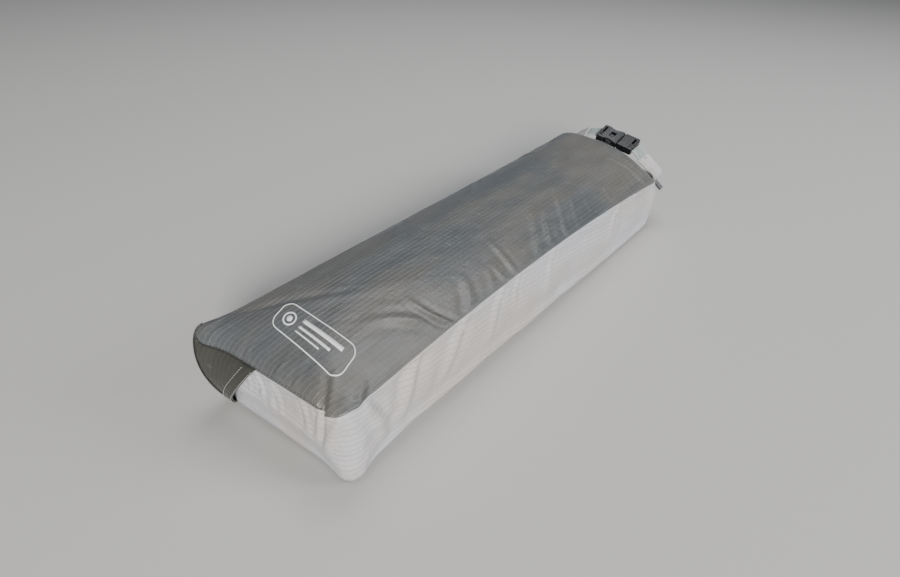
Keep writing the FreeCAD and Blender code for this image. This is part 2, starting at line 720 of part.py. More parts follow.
def bar_tacks(label, places):
    """Short rows of dense stitching: one small block at each place."""
    long, wide, high = TACK_SIZE
    blocks = []
    for index, place in enumerate(places):
        block = document.addObject("Part::Box", "%s_%d" % (label, index))
        block.Length = long
        block.Width = wide
        block.Height = high
        block.Placement = Placement(place - Vector(long / 2, wide / 2, 0), Rotation())
        blocks.append(block)
    tacks = document.addObject("Part::Compound", label)
    tacks.Links = blocks
    tacks.Label = label
    return tacks


# -------------------------------------------------------------------------- assembly

def build():
    hem = hem_share()
    sack = [
        top_panel(),
        side_gusset(),
        bottom_panel(),
        packed_load(),
        seam_binding("top_seam_binding", True, -0.6, 2.6),
        seam_binding("bottom_seam_binding", False, -2.2, 2.2),
        mouth_neck(),
    ]
    band = [
        band_strip("grab_band", 0, 1, 0),
        band_strip("band_hem_right", 1 - hem, 1, size("cloth") + HEM_STAND_OFF),
        band_strip("band_hem_left", 0, hem, size("cloth") + HEM_STAND_OFF),
    ]
    tack_lift = Vector(0, size("cloth") * 2 + SEAM_DROP, 0)
    band.append(bar_tacks("band_tacks", [band_point(*place) - tack_lift for place in TACK_PLACES]))
    collar = [rolled_collar(), mouth_stiffener()]
    collar += closure_end(1, RIGHT_BENDS, *RIGHT_WEBBING)
    collar += closure_end(-1, LEFT_BENDS, *LEFT_WEBBING)
    place = buckle_placement()
    buckle = [buckle_socket(), buckle_plug(), prong("prong_left", -1), prong("prong_right", 1)]
    for piece in buckle:
        piece.Placement = place
    return sack + band + collar + buckle + [side_tab()]


def failed(thing):
    return any(state in ("Invalid", "Error") for state in thing.State)


pieces = build()
document.recompute()
broken = [thing.Name for thing in document.Objects if failed(thing)]
if broken:
    raise RuntimeError("objects that did not recompute: " + ", ".join(broken))
for piece in pieces:
    if piece.Shape.isNull() or not piece.Shape.isValid() or piece.Shape.Volume <= 0:
        raise RuntimeError("bad shape: " + piece.Label)

os.makedirs("parts", exist_ok=True)
for piece in pieces:
    piece.Shape.exportStep("parts/%s.step" % piece.Label)
    print("%-20s solids %d  volume %.1f" % (piece.Label, len(piece.Shape.Solids), piece.Shape.Volume))
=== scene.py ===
import math

import bpy
import numpy as np
from mathutils import Matrix, Vector, noise


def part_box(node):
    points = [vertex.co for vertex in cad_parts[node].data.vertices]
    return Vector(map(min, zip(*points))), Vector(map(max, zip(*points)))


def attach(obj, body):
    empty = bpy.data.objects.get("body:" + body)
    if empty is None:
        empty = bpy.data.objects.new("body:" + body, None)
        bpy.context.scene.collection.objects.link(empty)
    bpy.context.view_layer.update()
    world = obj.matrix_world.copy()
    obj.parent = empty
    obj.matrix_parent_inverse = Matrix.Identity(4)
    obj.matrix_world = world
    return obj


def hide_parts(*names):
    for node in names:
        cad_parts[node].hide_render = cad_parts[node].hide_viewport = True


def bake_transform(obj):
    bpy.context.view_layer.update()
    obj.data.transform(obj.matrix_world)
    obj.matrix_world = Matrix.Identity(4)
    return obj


# A packed roll-top stuff sack in front of a plain studio floor.  Lengths in this script are in
# millimetres of the CAD frame unless a name ends in _m; make_mesh() turns them into metres.
# X is across the sack, Y runs from the grab-band end to the rolled mouth, Z is up.

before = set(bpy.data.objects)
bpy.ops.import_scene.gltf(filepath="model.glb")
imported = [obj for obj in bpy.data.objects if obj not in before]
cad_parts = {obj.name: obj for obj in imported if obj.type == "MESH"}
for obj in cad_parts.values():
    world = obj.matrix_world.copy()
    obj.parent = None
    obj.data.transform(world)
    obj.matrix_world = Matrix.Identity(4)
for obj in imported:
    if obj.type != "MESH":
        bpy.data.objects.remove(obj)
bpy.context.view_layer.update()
MM = 0.001


def node_box(name):
    """A CAD node's lowest and highest corners, in millimetres."""
    return [np.array(corner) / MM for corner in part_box(name)]


# ------------------------------------------------------------------ the form of the sack

CORNER_LEAN = 3.5
NECK_OVERLAP = 3
NEAR_END = node_box("top_panel")[0][1] + CORNER_LEAN
FAR_END = node_box("mouth_neck")[0][1] + NECK_OVERLAP
COLLAR_Z = sum(corner[2] for corner in node_box("rolled_collar")) / 2
FAR_ROUND = 26
NEAR_ROUND = 45
CORNER_RADIUS = {-1: 9, 1: 16}
SIDE_LONGER = 8
COLLAR_HALF = 55
SEAM_END = 60
CREST_DRIFT = -24
SIDE_BULGE = 4.6
FULL_HEIGHT = 40
LOW_INSET = 4
HALF = (67, 66, 70)
CROWN = (77, 83, 88)
SEAM_RIGHT = (66, 72, 56)
SEAM_LEFT = (70, 73, 66)
TRAY_HALF = (66, 72)
# How square the top panel's shoulder is on each side.
SHOULDER = {-1: 5.0, 1: 2.3}
# The bottom seam's height along the right side: Y and Z of a few places.
LOW_SEAM_Y = (-252, -228, -190, -140, -80, -30, 30, 90, 150, 254)
LOW_SEAM_Z = (3.0, 6.5, 10.5, 9.0, 9.8, 7.0, 7.6, 4.4, 3.6, 3.4)

ACROSS = 36
SIDE_ROWS = 16
ROW_STEP = 4.2
CORNER_STEPS = 8
END_STEPS = 11


def three_way(values, along):
    """A smooth curve through the near, middle and far values, 0 <= along <= 1."""
    near, middle, far = values
    ends = near * 2 * (along - 0.5) * (along - 1), far * 2 * along * (along - 0.5)
    return ends[0] + middle * 4 * along * (1 - along) + ends[1]


def fraction(y):
    return (y - NEAR_END) / (FAR_END - NEAR_END)


def fade(value, target, fall):
    """value on the flat (fall is 1), easing to target at the collar (fall is 0)."""
    return target + (value - target) * fall


def seam_height(side, y, fall):
    full = three_way(SEAM_RIGHT if side > 0 else SEAM_LEFT, fraction(y))
    near = math.sin(math.pi / 2 * min((y - NEAR_END) / CORNER_RADIUS[side], 1))
    return fade(SEAM_END + (full - SEAM_END) * near, COLLAR_Z + 2, fall)


def corner_inset(side, y):
    """How much a near corner's rounding takes off the half width."""
    radius = CORNER_RADIUS[side]
    deep = min(y - NEAR_END, radius)
    return radius - math.sqrt(radius ** 2 - (radius - deep) ** 2)


def crest(y, fall):
    deep = min((y - NEAR_END) / NEAR_ROUND, 1)
    rise = math.sqrt(max(1 - (1 - deep) ** 2, 0))
    high = SEAM_END + 1 + (three_way(CROWN, fraction(y)) - SEAM_END - 1) * rise
    return CREST_DRIFT * fraction(y), fade(high, COLLAR_Z + 4, fall)


def low_seam(side, y):
    """Height of the bottom seam: it rides up on the right side, and lies low elsewhere."""
    return float(np.interp(y, LOW_SEAM_Y, LOW_SEAM_Z)) if side > 0 else 4.5


def rows():
    """Stations along the sack: y, and how much of the height is left as the mouth end turns down."""
    reach = CORNER_RADIUS[1]
    near = [NEAR_END + reach * (1 - math.cos(math.pi / 2 * i / CORNER_STEPS)) for i in range(CORNER_STEPS)]
    start, stop = NEAR_END + reach, FAR_END - FAR_ROUND
    count = round((stop - start) / ROW_STEP)
    middle = [start + (stop - start) * i / count for i in range(count)]
    stations = [(y, 1.0) for y in near + middle]
    for i in range(END_STEPS + 1):
        turn = math.pi / 2 * i / END_STEPS
        stations.append((stop + FAR_ROUND * math.sin(turn) ** (2 / 3), max(math.cos(turn), 0) ** (2 / 3)))
    return stations


def row_ends(half, y):
    return [side * (half - corner_inset(side, y)) for side in (-1, 1)]


def top_row(y, fall):
    """The top panel across one station, from the left seam over the crest to the right seam."""
    left, right = row_ends(fade(three_way(HALF, fraction(y)), COLLAR_HALF + 2, fall), y)
    crest_x, crest_z = crest(y, fall)
    points = []
    for i in range(ACROSS + 1):
        x = left + (right - left) * i / ACROSS
        side, end = (1, right) if x > crest_x else (-1, left)
        out = (x - crest_x) / (end - crest_x)
        seam_z = seam_height(side, y, fall)
        points.append((x, y, seam_z + (crest_z - seam_z) * (1 - out ** SHOULDER[side])))
    return points


def bottom_row(y, fall):
    """The bottom panel across one station; its edges turn up to the bottom seam."""
    near, far = TRAY_HALF
    left, right = row_ends(fade(near + (far - near) * fraction(y), COLLAR_HALF + 1, fall), y)
    reach = CORNER_RADIUS[1]
    low_y = y + LOW_INSET * max(1 - (y - NEAR_END) / reach, 0)
    end_rise = max(1 - (y - NEAR_END) / 10, 0) ** 2
    points = []
    for i in range(ACROSS + 1):
        x = left + (right - left) * i / ACROSS
        side, end = (1, right) if x > 0 else (-1, left)
        edge = max(1 - abs(end - x) / 12, 0) ** 2
        flat = 0.6 + (low_seam(side, y) - 0.6) * max(edge, end_rise)
        points.append((x, low_y, fade(flat, COLLAR_Z - 4, fall)))
    return points


def leaned(grid):
    """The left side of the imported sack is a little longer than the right."""
    result = grid.copy()
    result[..., 1] -= SIDE_LONGER / 2 * (grid[..., 0] / HALF[1]) * (grid[..., 1] / FAR_END)
    return result


# The near corners are drawn out: a place, how far it moves, and how far around the pull reaches.
CORNER_PULLS = [
    ((-64, -254, 66), (-6.0, -7.0, 0.5), 14),
    ((60, -245, 4), (5.0, -3.5, -1.5), 15),
    ((58, -247, 62), (2.0, -1.0, 1.0), 9),
]


def drawn_out(grid):
    """The cloth with its near corners pulled out."""
    result = grid.copy()
    for place, move, reach in CORNER_PULLS:
        away = np.linalg.norm(grid - np.array(place, float), axis=-1)
        result += np.exp(-(away / reach) ** 2)[..., None] * np.array(move)
    return result


def rim(grid):
    """The path round a panel's edge: up the right side to the near end, across it, and back on the left."""
    right = [row[-1] for row in grid[::-1]]
    across = list(grid[0][-2:0:-1])
    left = [row[0] for row in grid]
    return np.array(right + across + left)


def side_strip(top_rim, low_rim):
    """The light strip between the two rims, with an outward belly."""
    strip = []
    along = np.gradient(top_rim, axis=0)
    outward = unit(np.stack([-along[:, 1], along[:, 0], np.zeros(len(along))], axis=1))
    height = np.linalg.norm(top_rim - low_rim, axis=1, keepdims=True)
    belly = SIDE_BULGE * np.minimum(height / FULL_HEIGHT, 1)
    for k in range(SIDE_ROWS + 1):
        share = k / SIDE_ROWS
        strip.append(top_rim * (1 - share) + low_rim * share + outward * belly * math.sin(math.pi * share))
    return np.array(strip)


# ------------------------------------------------------------------------ mesh helpers

def unit(vectors):
    """The same vectors, each one long."""
    return vectors / np.maximum(np.linalg.norm(vectors, axis=-1, keepdims=True), 1e-9)


def distances(path):
    """How far along a path each of its points lies."""
    return np.concatenate([[0], np.cumsum(np.linalg.norm(np.diff(path, axis=0), axis=1))])


def at_distance(path, total, place):
    """The value at a distance along a path whose points' distances are total."""
    return np.array([np.interp(place, total, path[:, axis]) for axis in range(3)])


def make_mesh(name, points, faces, material, coordinates=None):
    """A mesh object from millimetre points. coordinates are each point's place on the flat cloth."""
    mesh = bpy.data.meshes.new(name)
    mesh.from_pydata([tuple(p * MM for p in point) for point in points], [], faces)
    mesh.validate()
    if coordinates is not None:
        layer = mesh.uv_layers.new(name="Cloth")
        loops = np.zeros(len(mesh.loops), np.int32)
        mesh.loops.foreach_get("vertex_index", loops)
        flat = np.asarray(coordinates, float)[loops] * MM
        layer.data.foreach_set("uv", flat.astype(np.float32).ravel())
    mesh.polygons.foreach_set("use_smooth", [True] * len(mesh.polygons))
    mesh.materials.append(material)
    piece = bpy.data.objects.new(name, mesh)
    bpy.context.scene.collection.objects.link(piece)
    return piece


def grid_faces(rows_, columns, flip=False, first=0, wrap=False):
    """Quads over a grid of rows_ x columns points; wrap joins the last column to the first."""
    faces = []
    last = columns if wrap else columns - 1
    for j in range(rows_ - 1):
        for i in range(last):
            a = first + j * columns + i
            b = first + j * columns + (i + 1) % columns
            quad = (a, b, b + columns, a + columns)
            faces.append(quad[::-1] if flip else quad)
    return faces


def grid_mesh(name, grid, material, flip=False, places=None):
    """A mesh object from a grid of points, laid flat by its own lengths unless places say otherwise."""
    places = cloth_places(grid) if places is None else places
    faces = grid_faces(*grid.shape[:2], flip=flip)
    return make_mesh(name, grid.reshape(-1, 3), faces, material, places.reshape(-1, 2))


def refine(grid):
    """Twice as many points each way, on smooth curves through the old ones."""
    def along_rows(values):
        padded = np.concatenate([2 * values[:1] - values[1:2], values, 2 * values[-1:] - values[-2:-1]])
        middle = (-padded[:-3] + 9 * padded[1:-2] + 9 * padded[2:-1] - padded[3:]) / 16
        result = np.zeros((2 * len(values) - 1,) + values.shape[1:])
        result[0::2] = values
        result[1::2] = middle
        return result
    grid = along_rows(grid)
    return along_rows(grid.swapaxes(0, 1)).swapaxes(0, 1)


def grid_normals(grid):
    """Unit normals of a grid of points."""
    return unit(np.cross(np.gradient(grid, axis=1), np.gradient(grid, axis=0)))


def cloth_places(grid):
    """Each point's place on the flat cloth: the distance along its row and along its column."""
    across = np.linalg.norm(np.diff(grid, axis=1), axis=2)
    across = np.concatenate([np.zeros((len(grid), 1)), np.cumsum(across, axis=1)], axis=1)
    across -= across[:, -1:] / 2
    along = distances(grid[:, grid.shape[1] // 2])
    along = np.repeat(along[:, None], grid.shape[1], axis=1)
    return np.stack([across, along], axis=2)


def smooth_noise(points, size, seed, stretch=(1, 1, 1)):
    """Smooth noise from -1 to 1 at millimetre points; size is the width of its bumps."""
    shift = Vector((seed * 17.3, seed * 5.1, seed * 9.7))
    places = [Vector([p[a] / size / stretch[a] for a in range(3)]) for p in points.reshape(-1, 3)]
    values = [noise.noise(place + shift) for place in places]
    return np.array(values).reshape(points.shape[:-1])


def thicken(piece, thickness, offset=-1):
    """Give a piece of cloth its thickness, inward by default."""
    solid = piece.modifiers.new("Thickness", "SOLIDIFY")
    solid.thickness = thickness * MM
    solid.offset = offset


# --------------------------------------------------------------------------- materials

class Nodes:
    """One material's node tree, with short ways to add and join nodes."""

    def __init__(self, name):
        self.material = bpy.data.materials.new(name)
        self.material.use_nodes = True
        self.tree = self.material.node_tree
        self.shader = self.tree.nodes["Principled BSDF"]

    def add(self, kind, **settings):
        node = self.tree.nodes.new(kind)
        for key, value in settings.items():
            setattr(node, key, value)
        return node

    def join(self, source, target):
        self.tree.links.new(source, target)

    def put(self, socket, value):
        """Set a socket to a value, or join it to another socket."""
        if isinstance(value, bpy.types.NodeSocket):
            self.join(value, socket)
        else:
            socket.default_value = value

    def math(self, operation, a, b=0.0):
        node = self.add("ShaderNodeMath", operation=operation)
        self.put(node.inputs[0], a)
        self.put(node.inputs[1], b)
        return node.outputs[0]

    def place(self):
        """The place on the piece, in metres."""
        return self.add("ShaderNodeTexCoord").outputs["Object"]

    def cloth(self):
        """The place on the flat cloth, in metres: across and along."""
        node = self.add("ShaderNodeSeparateXYZ")
        uv = self.add("ShaderNodeUVMap", uv_map="Cloth")
        self.join(uv.outputs[0], node.inputs[0])
        return node.outputs[0], node.outputs[1], uv.outputs[0]

    def noise(self, vector, scale, detail=3.0, roughness=0.5, stretch=None):
        if stretch:
            mapping = self.add("ShaderNodeMapping")
            self.join(vector, mapping.inputs["Vector"])
            mapping.inputs["Scale"].default_value = stretch
            vector = mapping.outputs[0]
        node = self.add("ShaderNodeTexNoise")
        self.join(vector, node.inputs["Vector"])
        node.inputs["Scale"].default_value = scale
        node.inputs["Detail"].default_value = detail
        node.inputs["Roughness"].default_value = roughness
        return node.outputs["Fac"]

    def remap(self, value, low, high, to_low, to_high):
        node = self.add("ShaderNodeMapRange", interpolation_type="SMOOTHSTEP")
        self.put(node.inputs["Value"], value)
        for key, number in (("From Min", low), ("From Max", high), ("To Min", to_low), ("To Max", to_high)):
            node.inputs[key].default_value = number
        return node.outputs["Result"]

    def lines(self, coordinate, period, width):
        """1 on thin lines across a coordinate, 0 between them; metres."""
        turns = self.math("MULTIPLY", coordinate, 1 / period)
        triangle = self.math("PINGPONG", turns, 0.5)
        return self.remap(triangle, 0.3 * width / period, 0.8 * width / period, 1.0, 0.0)

    def mix(self, share, a, b):
        node = self.add("ShaderNodeMix", data_type="RGBA")
        self.put(node.inputs["Factor"], share)
        self.put(node.inputs[6], a)
        self.put(node.inputs[7], b)
        return node.outputs[2]

    def bump(self, height, distance, strength=1.0, normal=None):
        node = self.add("ShaderNodeBump")
        node.inputs["Strength"].default_value = strength
        node.inputs["Distance"].default_value = distance
        self.join(height, node.inputs["Height"])
        if normal is not None:
            self.join(normal, node.inputs["Normal"])
        return node.outputs["Normal"]


def ripstop(name, colour, warm, line_colour, dust, roughness, sheen, line_share, slant=0.0):
    """Thin coated ripstop: a fine weave, a grid of thicker yarns, faint crinkles and dust."""
    n = Nodes(name)
    across, along, flat = n.cloth()
    if slant:
        across = n.math("ADD", across, n.math("MULTIPLY", along, slant))
    strong = n.lines(across, 0.0043, 0.0009)
    weak = n.lines(along, 0.0047, 0.0008)
    grid = n.math("MAXIMUM", strong, n.math("MULTIPLY", weak, 0.4))
    place = n.place()
    cloud = n.noise(place, 11, 3.0, 0.55, stretch=(1.6, 0.7, 1))
    streak = n.noise(flat, 90, 3.0, 0.6, stretch=(1, 0.12, 1))
    base = n.mix(n.remap(cloud, 0.36, 0.66, 0, 1), colour, warm)
    base = n.mix(n.math("MULTIPLY", n.remap(streak, 0.35, 0.7, 0, 1), 0.2), base, line_colour)
    base = n.mix(n.math("MULTIPLY", grid, line_share), base, line_colour)
    speck = n.math("MULTIPLY", n.remap(n.noise(place, 160, 2.0), 0.62, 0.75, 0, 1), 0.16)
    base = n.mix(speck, base, dust)
    n.join(base, n.shader.inputs["Base Color"])
    worn = n.remap(n.noise(place, 35, 3.0), 0.3, 0.7, roughness - 0.06, roughness + 0.07)
    n.join(n.math("SUBTRACT", worn, n.math("MULTIPLY", grid, 0.05)), n.shader.inputs["Roughness"])
    weave = n.add("ShaderNodeTexWave", wave_type="BANDS", bands_direction="DIAGONAL")
    n.join(flat, weave.inputs["Vector"])
    weave.inputs["Scale"].default_value = 900
    crinkle = n.noise(flat, 130, 4.0, 0.62, stretch=(1, 0.45, 1))
    soft = n.noise(flat, 38, 2.0, 0.5, stretch=(1, 0.6, 1))
    normal = n.bump(soft, 0.0025, 0.5)
    normal = n.bump(crinkle, 0.0009, 0.5, normal)
    normal = n.bump(grid, 0.00016, 0.7, normal)
    normal = n.bump(weave.outputs["Fac"], 0.00004, 0.35, normal)
    n.join(normal, n.shader.inputs["Normal"])
    n.shader.inputs["Sheen Weight"].default_value = sheen
    n.shader.inputs["Sheen Roughness"].default_value = 0.35
    n.shader.inputs["Sheen Tint"].default_value = (0.82, 0.9, 1.0, 1.0)
    return n.material


def webbing(name, colour, edge_colour, half_width_m):
    """Ribbed flat webbing: cross ribs, lines along it and a paler selvedge."""
    n = Nodes(name)
    across, along, flat = n.cloth()
    ribs = n.lines(along, 0.0012, 0.0009)
    warp = n.lines(across, 0.0015, 0.0010)
    edge = n.remap(n.math("ABSOLUTE", across), half_width_m - 0.0022, half_width_m - 0.0012, 0, 1)
    base = n.mix(n.math("MULTIPLY", ribs, 0.35), colour, [0.7 * v for v in colour[:3]] + [1])
    base = n.mix(n.math("MULTIPLY", edge, 0.6), base, edge_colour)
    base = n.mix(n.remap(n.noise(n.place(), 120, 3.0), 0.35, 0.7, 0, 0.3), base, edge_colour)
    n.join(base, n.shader.inputs["Base Color"])
    n.join(n.remap(ribs, 0, 1, 0.62, 0.5), n.shader.inputs["Roughness"])
    normal = n.bump(n.math("ADD", ribs, n.math("MULTIPLY", warp, 0.6)), 0.00035, 0.9)
    n.join(normal, n.shader.inputs["Normal"])
    n.shader.inputs["Sheen Weight"].default_value = 0.25
    return n.material


def moulded(name, colour):
    """Glossy moulded acetal with faint flow marks, and a painted highlight: a lighter colour along its
    pointed edges and rims.
    """
    n = Nodes(name)
    place = n.place()
    flow = n.noise(place, 60, 4.0, 0.6, stretch=(0.4, 1, 1))
    geometry = n.add("ShaderNodeNewGeometry")
    # Painted highlight: where the surface is pointed, along rims and edges, the colour turns lighter; the
    # flow marks are mixed over it.
    edges = n.remap(geometry.outputs["Pointiness"], 0.54, 0.62, 0, 0.6)
    painted_edge_highlight = n.mix(edges, colour, (0.05, 0.052, 0.056, 1))
    worn = n.mix(n.remap(flow, 0.4, 0.7, 0, 0.3), painted_edge_highlight, (0.018, 0.019, 0.021, 1))
    n.join(worn, n.shader.inputs["Base Color"])
    n.join(n.remap(n.noise(place, 240, 3.0), 0.3, 0.7, 0.24, 0.36), n.shader.inputs["Roughness"])
    bevel = n.add("ShaderNodeBevel", samples=4)
    bevel.inputs["Radius"].default_value = 0.0007
    n.join(n.bump(n.noise(place, 500, 2.0), 0.00001, 0.3, bevel.outputs[0]), n.shader.inputs["Normal"])
    return n.material


def twisted_thread(name, colour):
    n = Nodes(name)
    place = n.place()
    twist = n.noise(place, 2500, 2.0)
    n.join(n.mix(n.remap(twist, 0.3, 0.7, 0, 0.5), colour, [0.6 * v for v in colour[:3]] + [1]),
           n.shader.inputs["Base Color"])
    n.join(n.remap(twist, 0.3, 0.7, 0.5, 0.7), n.shader.inputs["Roughness"])
    n.join(n.bump(twist, 0.0001, 0.6), n.shader.inputs["Normal"])
    return n.material


def printed_ink(name, colour):
    """Screen-printed ink on the cloth: slightly raised, a little worn through."""
    n = Nodes(name)
    across, along, flat = n.cloth()
    place = n.place()
    worn = n.remap(n.noise(place, 900, 3.0, 0.6), 0.6, 0.72, 0, 0.6)
    n.join(n.mix(worn, colour, (0.35, 0.35, 0.36, 1)), n.shader.inputs["Base Color"])
    n.join(n.remap(n.noise(place, 300, 2.0), 0.3, 0.7, 0.45, 0.6), n.shader.inputs["Roughness"])
    n.join(n.bump(n.lines(across, 0.0043, 0.0011), 0.00012, 0.5), n.shader.inputs["Normal"])
    return n.material


dark_cloth = ripstop("dark_cloth", (0.076, 0.083, 0.087, 1), (0.118, 0.11, 0.096, 1), (0.19, 0.195, 0.2, 1),
                     (0.32, 0.3, 0.27, 1), 0.36, 0.08, 0.26)
band_cloth = ripstop("band_cloth", (0.036, 0.036, 0.03, 1), (0.044, 0.042, 0.034, 1), (0.06, 0.06, 0.052, 1),
                     (0.18, 0.18, 0.15, 1), 0.55, 0.08, 0.25)
light_cloth = ripstop("light_cloth", (0.5, 0.51, 0.55, 1), (0.48, 0.44, 0.41, 1), (0.3, 0.295, 0.3, 1),
                      (0.4, 0.37, 0.32, 1), 0.42, 0.08, 0.5, slant=0.1)
load_cloth = ripstop("load_cloth", (0.42, 0.2, 0.06, 1), (0.38, 0.17, 0.05, 1), (0.5, 0.26, 0.09, 1),
                     (0.3, 0.2, 0.1, 1), 0.5, 0.1, 0.3)
strap_webbing = webbing("strap_webbing", (0.27, 0.33, 0.31, 1), (0.5, 0.55, 0.52, 1), 0.008)
tab_webbing = webbing("tab_webbing", (0.06, 0.062, 0.068, 1), (0.1, 0.1, 0.11, 1), 0.0038)
dark_thread = twisted_thread("dark_thread", (0.05, 0.05, 0.048, 1))
light_thread = twisted_thread("light_thread", (0.3, 0.3, 0.28, 1))
# Painted highlight: the seam beads are coloured whiter than the light cloth, standing for its folded edge
# catching light.
painted_highlight_seam_edge = twisted_thread("painted_highlight_seam_edge", (0.75, 0.75, 0.76, 1))
black_plastic = moulded("black_plastic", (0.008, 0.008, 0.009, 1))
strip_plastic = moulded("strip_plastic", (0.5, 0.5, 0.48, 1))
white_ink = printed_ink("white_ink", (0.86, 0.86, 0.86, 1))


# ------------------------------------------------------------------------------- folds

# Soft folds of the top panel: start, bend and end in plan, half width, height.
TOP_FOLDS = [
    ((60, 37), (37, 67), (16, 93), 4.5, 1.0),
    ((64, 56), (43, 82), (28, 104), 4.0, 0.9),
    ((60, 8), (35, 41), (14, 86), 5.0, 1.0),
    ((64, 88), (48, 102), (34, 120), 4.0, 0.7),
    ((70, 176), (49, 188), (28, 200), 4.0, 0.8),
    ((71, 186), (58, 199), (49, 208), 3.2, 0.7),
    ((70, 214), (44, 222), (15, 204), 6.0, 1.2),
    ((66, 30), (45, 59), (21, 82), 3.6, 0.7),
    ((68, 5), (51, 20), (35, 38), 4.2, 0.9),
    ((71, -25), (48, 5), (14, 48), 6.0, 1.1),
    ((68, -54), (45, -44), (20, -35), 5.0, 1.0),
    ((69, -70), (57, -65), (43, -61), 4.0, 0.8),
    ((70, -92), (59, -78), (45, -67), 5.0, 1.0),
    ((68, -120), (58, -103), (35, -91), 7.0, 1.4),
    ((67, -138), (43, -149), (22, -143), 5.0, 1.5),
    ((44, -158), (27, -169), (21, -194), 8.0, 0.9),
    ((68, 130), (54, 140), (38, 152), 5.0, 0.6),
    ((-23, -254), (-24, -249), (-32, -230), 3.5, 0.5),
    ((6, -254), (6, -240), (1, -232), 3.5, 0.6),
    ((24, -254), (22, -242), (14, -232), 3.5, 0.6),
    ((-66, -257), (-66, -246), (-62, -230), 3.5, 0.9),
    ((-67, 60), (-52, 44), (-38, 20), 7.0, 0.8),
    ((-67, 150), (-50, 160), (-34, 172), 7.0, 0.8),
    ((-66, -60), (-50, -72), (-34, -90), 8.0, 0.8),
]
# Creases are sharper: a valley with a ridge beside it, and they reach into the seam.
TOP_CREASES = [
    ((53, -256), (45, -241), (32, -228), 2.3, 3.0),
    ((72, -241), (62, -228), (54, -216), 2.6, 2.4),
]
LUMP_PLACE, LUMP_RADIUS, LUMP_HEIGHT = (61, -245), 7.5, 2.2
# Folds of the light strip: distance from the middle of the near end towards the right, and drop
# below the top seam.
SIDE_FOLDS = [
    ((-26, 0), (-25, 12), (-22, 26), 3.0, 0.8),
    ((-14, 0), (-12, 14), (-7, 32), 3.6, 1.1),
    ((1, 0), (5, 14), (10, 30), 3.6, 0.9),
    ((30, 2), (34, 14), (36, 28), 4.0, 0.9),
    ((47, 0), (48, 12), (44, 28), 4.2, 1.6),
    ((62, 6), (58, 22), (50, 38), 5.0, 1.0),
    ((84, 10), (96, 30), (100, 56), 8.0, 1.1),
    ((130, 8), (118, 30), (112, 56), 10.0, 1.5),
    ((186, 4), (170, 25), (158, 52), 9.0, 1.4),
    ((236, 3), (226, 20), (220, 46), 7.0, 1.2),
    ((262, 2), (258, 16), (256, 34), 5.0, 0.9),
    ((318, 2), (312, 20), (310, 44), 6.0, 0.8),
    ((452, 4), (440, 24), (436, 46), 7.0, 0.8),
]
CURVE_STEPS = 20
TOP_STRENGTH, SIDE_STRENGTH = 1.35, 2.1


def fold_height(x, y, fold, strength, crease=False):
    """How far a curved fold lifts the cloth at x, y: strongest near its start, gone at its end."""
    start, bend, end, wide, high = fold
    share = np.linspace(0, 1, CURVE_STEPS + 1)[:, None]
    start, bend, end = np.array(start), np.array(bend), np.array(end)
    line = start * (1 - share) ** 2 + bend * 2 * share * (1 - share) + end * share ** 2
    ahead = unit(np.gradient(line, axis=0))
    away = np.stack([x.ravel()[:, None] - line[:, 0], y.ravel()[:, None] - line[:, 1]], axis=2)
    nearest = np.argmin((away ** 2).sum(axis=2), axis=1)
    away = away[np.arange(len(nearest)), nearest]
    heading = ahead[nearest]
    off = (away[:, 0] * heading[:, 1] - away[:, 1] * heading[:, 0]) / wide
    beyond = np.abs((away * heading).sum(axis=1)) / wide
    taper = (1 - share[nearest, 0]) ** 0.8 * np.exp(-beyond ** 2)
    if crease:
        shape = -np.exp(-off ** 2) + 0.6 * np.exp(-(off - 1.8) ** 2 / 1.5)
    else:
        shape = np.cos(off * math.pi * 0.8) * np.exp(-off ** 2 * 0.7)
    return (strength * high * taper * shape).reshape(x.shape)


def add_top_folds(top):
    x, y = top[..., 0], top[..., 1]
    lift = 0.5 * smooth_noise(top, 46, 1, (1, 1.6, 1)) + 0.16 * smooth_noise(top, 14, 2, (1, 1.8, 1))
    for fold in TOP_FOLDS:
        lift += fold_height(x, y, fold, TOP_STRENGTH)
    columns = np.linspace(0, 1, top.shape[1])
    rows_in = np.linspace(0, 1, top.shape[0])[:, None]
    seam = np.minimum(np.minimum(columns, 1 - columns)[None, :] * 16, rows_in * 60)
    lift *= np.minimum(seam, 1)
    pucker = 0.3 * smooth_noise(top, 3.6, 3, (1, 1, 1)) * np.exp(-(seam * 1.5 - 0.7) ** 2 * 4)
    lift += pucker * np.minimum(seam * 4, 1)
    for crease in TOP_CREASES:
        lift += fold_height(x, y, crease, TOP_STRENGTH, crease=True)
    from_lump = (x - LUMP_PLACE[0]) ** 2 + (y - LUMP_PLACE[1]) ** 2
    dents = 0.75 + 0.5 * smooth_noise(top, 3.2, 4, (1, 1, 1))
    lift += LUMP_HEIGHT * dents * np.exp(-from_lump / LUMP_RADIUS ** 2)
    lift[-1] = 0
    return top + grid_normals(top) * lift[..., None]


def add_side_folds(side):
    """Soft wrinkles down the light strip, and drapes on its near end."""
    along = distances(side[0])
    middle = along[int(np.argmin(np.abs(side[0][:, 0]) + 1000 * (side[0][:, 1] > NEAR_END + 10)))]
    share = np.linspace(0, 1, side.shape[0])[:, None]
    drop = np.linalg.norm(side[0] - side[-1], axis=1)[None, :] * share
    right = np.repeat(middle - along[None, :], side.shape[0], axis=0)
    flat = np.stack([right + 0.25 * drop, drop, np.zeros(drop.shape)], axis=2)
    lift = 0.4 * smooth_noise(flat, 8, 5, (1, 5, 1)) + 1.2 * smooth_noise(flat, 30, 6, (1, 1.8, 1))
    for fold in SIDE_FOLDS:
        lift += fold_height(right, drop, fold, SIDE_STRENGTH)
    lift += 0.25 * smooth_noise(flat, 3.4, 7, (1, 3.5, 1)) * np.exp(-share * 9)
    body = np.minimum(np.minimum(share, 1 - share) * 9, 1)
    return side + grid_normals(side) * (lift * body)[..., None]


# ---------------------------------------------------------------------------- the skin

PANEL_CLOTH = 0.5
SWELL_CAP = 4
SWELL_FRAMES = 18


